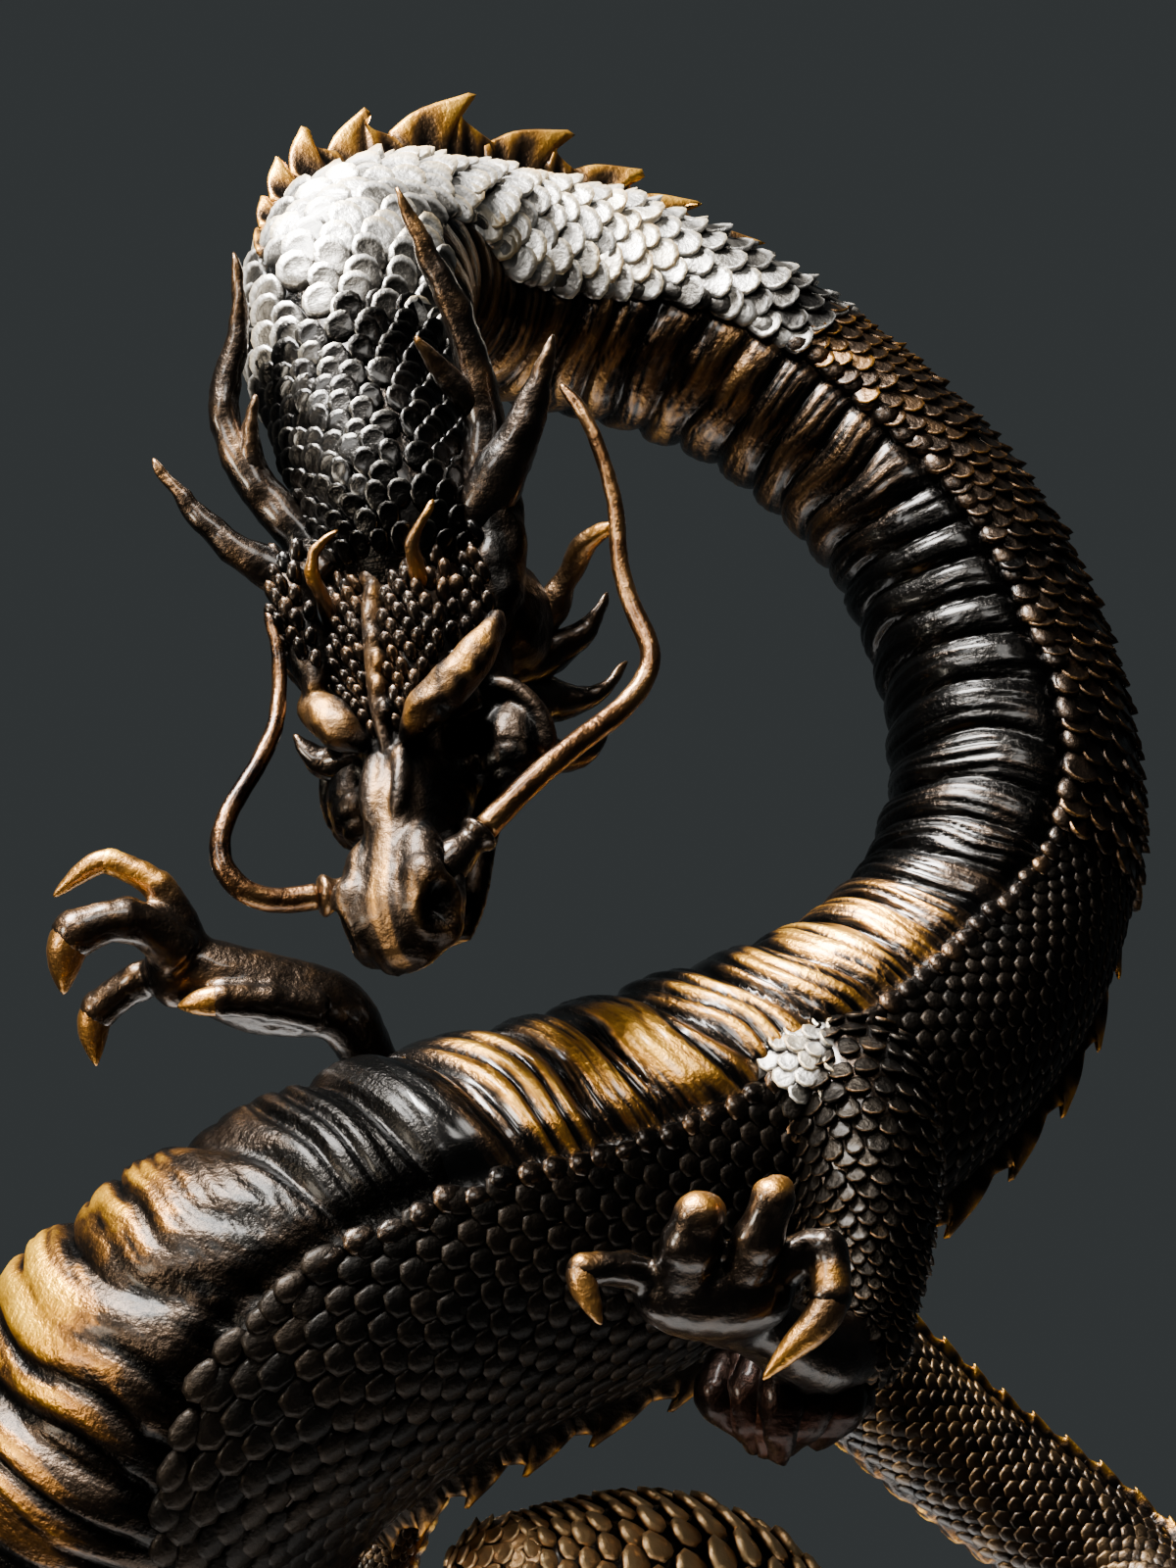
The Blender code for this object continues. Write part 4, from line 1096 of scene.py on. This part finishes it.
def forehead_scales(tree):
    """Small pointed scales either side of the brow's ridge, laid on the head's own surface."""
    pool = Pool()
    places, normals, sizes, tones = [], [], [], []
    above, down = HEAD_AXES[2] * 30, Vector(-HEAD_AXES[2])
    forward = -15.0
    row = 0
    while forward < 29.0:
        step = 2.5 - 0.018 * forward
        for column in range(-8, 9):
            across = (column + 0.5 * (row % 2)) * step + rng.normal(0, 0.12)
            if abs(across) < 1.9 or abs(across) > 14.5:
                continue
            pad = 3.0 + (31.5 - forward) * (0.72 if across > 0 else 0.62)
            if forward > 13.0 and abs(across) > pad - 2.4:
                continue
            start = head_point(across, forward + rng.normal(0, 0.15), 0.0) + above
            hit, normal, _, _ = tree.ray_cast(Vector(start), down)
            if hit is None or normal.dot(-down) < 0.35:
                continue
            places.append(tuple(hit))
            normals.append(tuple((normal + Vector(HEAD_AXES[2])).normalized()))
            sizes.append(step)
            tones.append(0.22 * math.exp(-((across + 1.0) / 4.0) ** 2) - 0.04)
        forward += 0.86 * step
        row += 1
    sizes = np.array(sizes)
    back = np.tile(-HEAD_AXES[1], (len(places), 1))
    lay_scales(pool, np.array(places), back, np.array(normals), 0.50 * sizes, 0.62 * sizes, 0.42 * sizes,
               0.9 * sizes, 8, np.array(tones)[:, None], "domed")
    pool.object("dragon_forehead", "patinated_bronze")


# Points along each, and the radius there.
HORNS = {
    "antler_left": (((-37, -46, 237), (-44, -43, 245), (-51, -41, 254), (-54, -38, 264),
                     (-52, -36, 274), (-53, -35, 286)), (4.2, 3.4, 2.8, 2.3, 1.7, 0.5)),
    "antler_right": (((-20, -47, 240), (-15, -46, 254), (-16, -45, 264), (-19, -45, 275),
                      (-24, -45, 285), (-28, -46, 294)), (4.4, 3.6, 2.9, 2.4, 1.7, 0.5)),
    "tine_left": (((-48, -42, 250), (-50, -42, 258), (-49, -42, 264)), (2.2, 1.5, 0.5)),
    "tine_right": (((-17, -46, 262), (-22, -48, 268), (-25, -50, 272)), (2.2, 1.5, 0.5)),
    "ear_left": (((-40, -46, 236), (-50, -47, 240), (-57, -46, 246), (-64, -45, 254)),
                 (4.0, 2.8, 1.7, 0.5)),
    "ear_right": (((-20, -46, 238), (-13, -50, 251), (-8, -50, 262), (-5, -50, 272)),
                  (4.8, 4.0, 2.3, 0.5)),
    "curl_left": (((-36, -51, 228), (-38.5, -55, 234), (-39.5, -57, 239), (-36, -57, 243)),
                  (1.8, 1.3, 1.0, 0.4)),
    "curl_right": (((-22, -52, 230), (-24, -58, 236), (-25, -61, 241), (-22, -61, 247)),
                   (1.8, 1.3, 1.0, 0.4)),
    "stalk": (((-17, -45, 226), (-7, -42, 231), (-3.4, -42, 236.5), (-1, -43, 241), (1.5, -45, 243.5),
               (4.2, -47, 244.6)), (5.0, 3.2, 2.0, 1.8, 1.4, 0.9)),
    "frill_1": (((-17, -46, 224), (-6, -41, 226), (0, -40, 230), (3, -39, 235)), (6.0, 3.4, 1.6, 0.5)),
    "frill_2": (((-17, -47, 219), (-5, -39, 219), (1, -38, 220), (6, -36, 225)), (6.0, 3.4, 1.7, 0.5)),
    "frill_3": (((-18, -48, 213), (-7, -39, 211), (-1, -37, 211), (3, -35, 214)), (6.0, 3.4, 1.7, 0.5)),
    "frill_4": (((-32, -45, 222), (-40, -43, 222), (-46, -41, 226)), (5.5, 3.0, 0.5)),
    "frill_5": (((-33, -48, 211), (-39, -48, 210), (-43, -47, 214)), (4.5, 2.4, 0.5)),
}


def roughened(points, amount, size):
    shifts = [noise.noise_vector(Vector(p / size)) for p in points]
    return points + amount * np.array(shifts)


def grain(points, coarse, fine):
    return np.array([noise.noise(Vector(p * coarse)) + 0.5 * noise.noise(Vector(p * fine)) for p in points])


def horns():
    """Antlers, tines, ears, curls, the stalk and the frills."""
    pool = Pool()
    for name, (points, radii) in HORNS.items():
        steps = 10 * len(points)
        shape, faces = tube(points, radii, 14, steps)
        shape = roughened(roughened(shape, 0.5, 4.5), 0.25, 1.8)
        share = np.repeat(np.linspace(0, 1, steps), 14)
        golden = 0.40 if "curl" in name or "stalk" in name else 0.20
        if "frill" in name:
            golden = 0.1
        cloud = np.array([noise.noise(Vector(p / 6.0)) for p in shape])
        pool.add(shape, faces, golden + 0.35 * share ** 3 + 0.22 * cloud)
    pool.object("dragon_horns", "patinated_bronze")


# The legs

# The near foreleg's upper and lower arm, then the far one's: points and radii.
LIMBS = (
    (((36, -22, 164), (39, -34, 160), (41, -44, 144), (39, -51, 126)), (11.0, 11.5, 10.0, 6.8)),
    (((40, -48, 128), (33, -58, 125), (25, -66, 130), (17, -73, 134)), (6.8, 6.2, 5.2, 5.5)),
    (((12, 2, 150), (-8, 10, 150), (-25, 10, 152)), (9.0, 8.0, 6.5)),
    (((-24, 9, 150), (-34, 6, 161), (-40, 2, 171), (-48, 0, 173), (-56, -1, 175), (-64, -2, 179)),
     (6.5, 4.4, 5.4, 6.4, 6.4, 4.8)),
)
# Balls: a centre and three radii.
SHOULDER = ((33, -33, 159), (13.5, 12.5, 12.5))
ELBOW = ((39.5, -50, 127), (7.6, 7.6, 8.0))
PALMS = (((17.5, -74.5, 135.5), (11.5, 6.0, 6.5)), ((-65, -3, 178.5), (5.0, 4.5, 7.2)))
# Points and radii of each toe, the last point being the claw's tip.
NEAR_TOES = (
    (((12, -74, 136), (5, -77, 139.5), (-0.5, -79, 139.5), (1.8, -82, 132.5)), (3.6, 2.5, 2.5, 0.6)),
    (((14, -75, 135), (14, -79, 143), (15.2, -80, 147), (19, -77, 147.5)), (4.2, 3.9, 3.5, 0.6)),
    (((20, -75, 136), (23.5, -79, 144), (25.5, -80, 149.5), (27.5, -77, 151)), (3.8, 3.4, 3.0, 0.6)),
    (((24, -74, 137), (33, -76, 142), (33.5, -79, 136), (24, -82, 125)), (3.6, 2.9, 2.9, 0.6)),
)
FAR_TOES = (
    (((-63, -3, 181), (-67.5, -4, 190.5), (-75, -4, 194.5), (-84, -4, 189)), (3.6, 2.5, 2.1, 0.5)),
    (((-64, -5, 180), (-72, -9, 185.5), (-79.5, -11, 183.5), (-81.5, -11, 174)), (4.4, 3.4, 3.7, 0.5)),
    (((-62, -1, 177), (-71, 1, 175.5), (-77.5, 2, 171), (-78, 2, 162)), (4.2, 3.0, 3.0, 0.5)),
    (((-42, -4, 171), (-50, -7, 172.5), (-57, -9, 173), (-64, -9, 172)), (3.6, 2.8, 2.6, 0.5)),
)
# Hip, thigh, knee, ankle and heel, of the near hind leg and then the far one.
HIND_LEGS = (
    ((34, 2, 48), (12, -26, 80), (-12, -38, 88), (6, -42, 40), (1, -45, 8.0)),
    ((37, 14, 43), (15, 33, 61), (-8, 44, 67), (10, 48, 37), (3, 52, 8.0)),
)
THIGH_RADII = (15.0, 18.0, 9.5)
KNEE_RADII = (9.5, 9.0, 9.5)
SHANK_RADII = (8.0, 5.5, 5.0)


def add_toes(pool, claws, toes):
    """Two knuckles and a hooked claw for each toe, which keeps its thickness until near the tip."""
    for line, radii in toes:
        pool.add(*tube(line[:3], radii[:3], 14, 20), 0)
        pool.add(*ellipsoid(line[1], (radii[1] * 1.12,) * 3), 0)
        pool.add(*ellipsoid(line[2], (radii[2] * 1.08,) * 3), 0)
        second, third, tip = (np.array(p, float) for p in line[1:])
        start, middle = 0.35 * second + 0.65 * third, 0.45 * third + 0.55 * tip
        middle = middle + 0.10 * (third - second)
        shape, faces = tube((start, third, middle, tip),
                            (radii[2] * 0.86, radii[2] * 0.92, radii[2] * 0.66, 0.3), 14, 26)
        claws.add(roughened(shape, 0.12, 2.0), faces, 0.55 + 0.2 * np.repeat(np.linspace(0, 1, 26), 14))


def hind_leg(pool, claws, hip, thigh, knee, ankle, heel, away):
    """Thigh, shank, foot and four toes; away is the side that the spur points to."""
    pool.add(*tube((hip, thigh, knee), THIGH_RADII, 24, 30), 0)
    pool.add(*ellipsoid(knee, KNEE_RADII), 0)
    heel = np.array(heel, float)
    pool.add(*tube((knee, ankle, heel - (0, 0, 4)), SHANK_RADII, 18, 30), 0)
    pool.add(*ellipsoid(heel + (-7, 0.6 * away, -3.5), (10.0, 7.0, 4.5)), 0)
    lines = []
    for turn in (-0.55, 0.0, 0.55):
        way = np.array((-math.cos(turn), math.sin(turn), 0.0))
        start = heel + (-8, 3.5 * turn, -1)
        lines.append((start, start + way * 9 + (0, 0, 2.0), start + way * 15 - (0, 0, 2.5),
                      start + way * 19 - (0, 0, 6.2)))
    back = heel + (2, 4 * away, 0)
    lines.append((back, back + (5, 3 * away, 1), back + (9, 5 * away, -2), back + (12, 6 * away, -7.2)))
    add_toes(pool, claws, [(line, (3.6, 3.1, 2.5, 0.8)) for line in lines])


def legs():
    pool, claws = Pool(), Pool()
    for points, radii in LIMBS:
        pool.add(*tube(points, radii, 22, 30), 0)
    for centre, radii in (ELBOW, SHOULDER, *PALMS):
        pool.add(*ellipsoid(centre, radii), 0)
    add_toes(pool, claws, NEAR_TOES)
    add_toes(pool, claws, FAR_TOES)
    for places, away in zip(HIND_LEGS, (-1, 1)):
        hind_leg(pool, claws, *places, away)
    points, faces, edges = fused(pool, VOXEL_LEGS)
    rough = grain(points, 0.4, 1.1)
    points = points + 0.14 * rough[:, None] * point_normals(points, faces)
    tone = 0.16 + 0.55 * convexity(points, faces, edges) + 0.1 * rough
    far_arm = smoothstep(-28, -38, points[:, 0]) * (points[:, 2] > 140)
    tone = tone + far_arm * (0.07 + 0.06 * smoothstep(-46, -60, points[:, 0]))
    first_finger = np.linalg.norm((points - (-72.0, -4.0, 191.5)) / (9.0, 4.0, 6.0), axis=1)
    tone = tone + 0.3 * smoothstep(1.3, 0.6, first_finger)
    for order, (line, radii) in enumerate(NEAR_TOES + FAR_TOES):
        cap = np.array(line[2]) + (0.0, 0.0, 0.75 * radii[2])
        near = np.linalg.norm(points - cap, axis=1)
        tone = tone + (0.52 if order < 5 else 0.10) * smoothstep(1.45 * radii[2], 0.7 * radii[2], near)
    skin_pool = Pool()
    skin_pool.add(points, faces, tone)
    skin_pool.object("dragon_legs", "patinated_bronze")
    claws.object("dragon_claws", "patinated_bronze")


def cover(pool, centres, ahead, normals, widths, tones, kind):
    normals, widths = np.array(normals), np.array(widths)
    lay_scales(pool, np.array(centres) - 0.15 * normals, np.array(ahead), normals, 0.54 * widths,
               0.56 * widths, 0.16 * widths, 0.24 * widths, 9, np.array(tones)[:, None], kind)


def limb_scales(pool, points, radii, columns, keep_from, keep_to, kind, bright):
    """Rings of scales round a limb, between two shares of its length."""
    steps = 200
    rows = smooth_rows([(*point, radius) for point, radius in zip(points, radii)], steps)
    places, radius = rows[:, :3], rows[:, 3]
    tangents, first, second = carried_frames(places)
    length = line_length(places)
    where = np.linspace(0, length, steps)
    along, row = length * keep_from, 0
    centres, ahead, normals, widths, tones = [], [], [], [], []
    while along < length * keep_to:
        i = int(np.searchsorted(where, along))
        width = math.tau * radius[i] / columns
        for column in range(columns):
            turn = math.tau * (column + 0.5 * (row % 2)) / columns
            ray = math.cos(turn) * first[i] + math.sin(turn) * second[i]
            centres.append(places[i] + radius[i] * ray)
            ahead.append(tangents[i])
            normals.append(ray)
            widths.append(width)
            tones.append(np.interp(along / length, *bright))
        along += 0.6 * width
        row += 1
    cover(pool, centres, ahead, normals, widths, tones, kind)


def ball_scales(pool, ball, pole, start, reach, width, bright):
    """Scales in rings round a pole of an ellipsoid, from start to reach degrees away from it."""
    centre, radii = np.array(ball[0], float), np.array(ball[1], float)
    pole = unit_vector(pole)
    first = unit_vector(np.cross(pole, (1.0, 0.0, 0.0)))
    second = np.cross(pole, first)
    centres, ahead, normals, tones = [], [], [], []
    size = float(radii.mean())
    step = math.degrees(0.6 * width / size)
    for row, angle in enumerate(np.arange(0.4 * step, reach, step)):
        if angle < start:
            continue
        away = math.radians(angle)
        count = max(1, round(math.tau * size * math.sin(away) / width))
        for column in range(count):
            turn = math.tau * (column + 0.5 * (row % 2)) / count
            out = math.cos(turn) * first + math.sin(turn) * second
            ray = math.cos(away) * pole + math.sin(away) * out
            centres.append(centre + radii * ray)
            normals.append(unit_vector(ray / radii))
            ahead.append(math.cos(away) * out - math.sin(away) * pole)
            tones.append(np.interp(angle, *bright))
    cover(pool, centres, ahead, normals, np.full(len(centres), width), tones, "dished")


def leg_scales():
    shoulder, arm, hind = Pool(), Pool(), Pool()
    pole = (0.42, -0.50, 0.76)
    even = ((0.0,), (0.0,))
    # Painted sheen: the shoulder's top scales take the neck's silver metal and are painted lighter, fading
    # out towards 56 degrees from the pole.
    ball_scales(shoulder, SHOULDER, pole, 0.0, 56.0, 3.7, ((0.0, 40.0, 56.0), (0.28, 0.26, 0.10)))
    ball_scales(arm, SHOULDER, pole, 56.0, 100.0, 3.7, even)
    ball_scales(arm, ELBOW, (0.0, 0.3, 1.0), 30.0, 165.0, 3.0, even)
    limb_scales(arm, *LIMBS[0], 19, 0.1, 0.97, "dished", even)
    limb_scales(arm, *LIMBS[2], 14, 0.0, 1.0, "dished", even)
    for order, (hip, thigh, knee, ankle, heel) in enumerate(HIND_LEGS):
        # Painted light: the near thigh and knee are painted much lighter than the far ones, which stay
        # dark.
        thigh_painted_light, knee_painted_light = 0.5 - 0.58 * order, 0.35 - 0.5 * order
        limb_scales(hind, (hip, thigh, knee), THIGH_RADII, 17, 0.1, 1.0, "domed", ((0.0,), (thigh_painted_light,)))
        ball_scales(hind, (knee, KNEE_RADII), (-1.0, 0.0, 0.5), 0.0, 120.0, 3.4, ((0.0,), (knee_painted_light,)))
        limb_scales(hind, (knee, ankle, heel), SHANK_RADII, 12, 0.0, 0.85, "domed", ((0.0,), (-0.12,)))
    shoulder.object("dragon_shoulder_scales", "sheen_neck_bronze")
    # The arm's scales take the near-black metal: painted shade.
    arm.object("dragon_arm_scales", "shaded_arm_bronze")
    hind.object("dragon_leg_scales", "lit_thigh_bronze")


def tufts():
    """The flame of hair at the tail's end and behind the near elbow."""
    pool = Pool()
    tail = (((-36, 42, 72), (-40, 42, 56), (-36, 42, 42), (-41, 42, 30)),
            ((-36, 42, 78), (-46, 40, 66), (-48, 40, 54), (-54, 40, 46)),
            ((-35, 42, 74), (-28, 44, 62), (-28, 44, 50), (-23, 44, 42)))
    for points in tail:
        for k in range(3):
            shift = rng.normal(0, 1.3, 3)
            line = [np.array(p) + shift * share for p, share in zip(points, (0.3, 1, 1, 1.4))]
            shape, faces = tube(line, (3.2 - 0.5 * k, 3.4 - 0.7 * k, 2.2 - 0.4 * k, 0.4), 12, 30)
            pool.add(shape, faces, 0.35 + 0.2 * np.repeat(np.linspace(0, 1, 30), 12))
    for k in range(9):
        spread = -1.0 + k / 4.0
        top = np.array((28.5 + 8.0 * spread, -53.0 + 2.5 * spread ** 2, 124.0 - 2.0 * abs(spread)))
        middle = np.array((28.0 + 9.0 * spread, -57.5 + 4.0 * spread ** 2, 117.0 + 1.5 * abs(spread)))
        low = np.array((27.2 + 4.5 * spread, -56.0 + 1.5 * spread ** 2, 109.5 + 4.0 * spread ** 2))
        low = low + rng.normal(0.0, (0.8, 0.6, 0.9))
        middle = middle + rng.normal(0.0, (0.6, 0.9, 0.6))
        shape, faces = tube((top, middle, low), (3.6, 3.9, 1.3), 14, 30)
        shape = roughened(shape, 0.6, 3.2)
        pool.add(shape, faces, 0.12 + 0.14 * np.repeat(np.linspace(0, 1, 30), 14) + 0.08 * (k % 2))
    pool.object("dragon_tufts", "hair_bronze")


# Whiskers and plinth

WHISKERS = {
    "whisker_left": ((-37.8, -72.5, 191), (-43, -74, 190.5), (-48, -75, 192), (-51, -74, 196),
                     (-50.6, -71, 202), (-47.5, -67, 208), (-44.8, -63, 214), (-44.2, -59, 220),
                     (-44.8, -56, 227), (-46.5, -54, 232)),
    "whisker_right": ((-14.6, -71.3, 200.4), (-8.3, -68, 206.7), (0, -62, 213.7), (7, -57, 220),
                      (9.0, -55, 224.5), (7.1, -52, 230.9), (4.6, -49, 239.5), (4.0, -47, 246.8),
                      (1.7, -45, 255.6), (-1.4, -43, 262.3), (-4.0, -42, 265.5)),
}


def whisker(name, points):
    points = np.array(points, float)
    way = unit_vector(points[1] - points[0])
    points[0] = points[0] + way * WHISKER_GAP / UNIT
    radii = np.linspace(WHISKER_ROOT_RADIUS, WHISKER_TIP_RADIUS, len(points)) / UNIT
    shape, faces = tube(points, radii, 20, 140)
    shape = roughened(shape, 0.12, 2.2)
    wear = 0.45 + 0.3 * (value_noise(np.arange(len(shape)) / 90.0, np.zeros(len(shape)), 8) - 0.5)
    # Painted shade: the left whisker goes darker above its lowest bend.
    wear = wear - 0.3 * smoothstep(191.0, 197.0, shape[:, 2]) * (name == "whisker_left")
    pool = Pool()
    pool.add(shape, faces, wear)
    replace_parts(pool.object(f"{name}_rod", "whisker_bronze", "whisker_bronze"), name)


def bosses():
    """The bosses on the lip that the whiskers are set in."""
    pool = Pool()
    length, radius = BOSS_LENGTH / UNIT, 1.25 * WHISKER_ROOT_RADIUS / UNIT
    for name, points in WHISKERS.items():
        start = np.array(points[0], float)
        way = unit_vector(np.array(points[1], float) - start)
        line = [start - way * 4 * length, start - way * 2 * length, start - way * length,
                start - way * 0.15, start]
        shape, faces = tube(line, (radius * 1.3, radius * 1.1, radius, 0.95 * radius, 0.8 * radius), 20, 30)
        # Painted shade: the right boss, behind the muzzle, is darker; the left is gold.
        pool.add(shape, faces, 0.5 if name == "whisker_left" else 0.2)
    pool.object("dragon_bosses", "patinated_bronze")


def plinth():
    corner, cove = PLINTH_EDGE_ROUND, PLINTH_COVE_DEPTH
    turns = [math.radians(a) for a in np.linspace(90, 0, 9)]
    top = [(PLINTH_RADIUS - corner + corner * math.cos(a), PLINTH_HEIGHT - corner + corner * math.sin(a))
           for a in turns]
    middle = PLINTH_HEIGHT / 2
    half = middle - 2 * corner
    hollow = [(PLINTH_RADIUS - cove * math.cos(a), middle + half * math.sin(a))
              for a in (math.radians(d) for d in np.linspace(84, -84, 15))]
    foot = [(radius, PLINTH_HEIGHT - height) for radius, height in top[::-1]]
    outline = [(0.001, PLINTH_HEIGHT), (0.03, PLINTH_HEIGHT), (0.06, PLINTH_HEIGHT), *top, *hollow, *foot,
               (0.05, 0.0), (0.001, 0.0)]
    sides = 128
    turn = np.linspace(0, math.tau, sides, endpoint=False)
    rings = np.array([[(r * math.cos(t), r * math.sin(t), z) for t in turn] for r, z in outline])
    points = rings.reshape(-1, 3)
    mesh = bpy.data.meshes.new("plinth_turned")
    mesh.from_pydata(points.tolist(), [], outward(points, skin(rings)))
    edge = np.array([0.55 if abs(z - PLINTH_HEIGHT) < 0.003 and r > 0.08 else 0.4 for r, z in outline])
    obj = finish_object("plinth_turned", mesh, np.repeat(edge, sides), "plinth_bronze")
    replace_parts(obj, "plinth")


# The view and its light, in metres

CAMERA_PLACE = (0.0, -0.620, 0.225)
LENS_MM = 90.0
SENSOR_MM = 36.0
WORLD_COLOUR = (0.0362, 0.0410, 0.0425, 1.0)
FLOOR_RADIUS = 0.17
FLOOR_PLACE = (0.0, 0.0, -0.0005)
FLOOR_COLOUR = (0.62, 0.62, 0.62, 1.0)
# Each lamp's place, the point that it faces, its width, power and colour.
LAMPS = {
    "key": ((-0.44, -0.12, 1.20), (0.0, 0.0, 0.20), 0.52, 150.0, (1.0, 0.99, 0.97)),
    "left": ((-1.00, -0.50, 0.40), (0.0, 0.0, 0.12), 0.26, 14.0, (1.0, 0.90, 0.74)),
    "front": ((-0.77, -0.80, 0.90), (0.0, 0.0, 0.22), 0.34, 7.0, (1.0, 0.98, 0.95)),
    "fill": ((0.06, -0.55, 0.95), (0.0, -0.03, 0.10), 0.30, 4.0, (1.0, 0.97, 0.92)),
}


def add_camera(scene):
    camera = bpy.data.cameras.new("camera")
    camera.lens = LENS_MM
    camera.sensor_fit = "VERTICAL"
    camera.sensor_height = SENSOR_MM
    camera.sensor_width = SENSOR_MM
    camera.clip_end = 20.0
    holder = bpy.data.objects.new("camera", camera)
    scene.collection.objects.link(holder)
    holder.location = CAMERA_PLACE
    holder.rotation_euler = (math.pi / 2, 0.0, 0.0)
    scene.camera = holder


def add_lamp(scene, name, place, target, size, power, colour):
    light = bpy.data.lights.new(name, "AREA")
    light.shape = "DISK"
    light.size = size
    light.energy = power
    light.color = colour
    obj = bpy.data.objects.new(name, light)
    scene.collection.objects.link(obj)
    obj.location = place
    obj.rotation_mode = "QUATERNION"
    obj.rotation_quaternion = (Vector(target) - Vector(place)).to_track_quat("-Z", "Y")


def add_floor(scene):
    shape = bmesh.new()
    bmesh.ops.create_circle(shape, cap_ends=True, segments=96, radius=FLOOR_RADIUS)
    mesh = bpy.data.meshes.new("floor")
    shape.to_mesh(mesh)
    shape.free()
    pale = bpy.data.materials.new("floor")
    pale.use_nodes = True
    shader = pale.node_tree.nodes["Principled BSDF"]
    shader.inputs["Base Color"].default_value = FLOOR_COLOUR
    shader.inputs["Roughness"].default_value = 0.8
    mesh.materials.append(pale)
    floor = bpy.data.objects.new("floor", mesh)
    floor.location = FLOOR_PLACE
    scene.collection.objects.link(floor)


def studio():
    scene = bpy.context.scene
    add_camera(scene)
    for name, values in LAMPS.items():
        add_lamp(scene, name, *values)
    world = bpy.data.worlds.new("studio")
    world.use_nodes = True
    background = world.node_tree.nodes["Background"]
    background.inputs["Color"].default_value = WORLD_COLOUR
    background.inputs["Strength"].default_value = 1.0
    scene.world = world
    add_floor(scene)


main_piece = body()
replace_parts(main_piece, "dragon")
scales()
crest()
forehead_scales(head())
horns()
legs()
leg_scales()
tufts()
bosses()
for whisker_name, whisker_points in WHISKERS.items():
    whisker(whisker_name, whisker_points)
plinth()
studio()
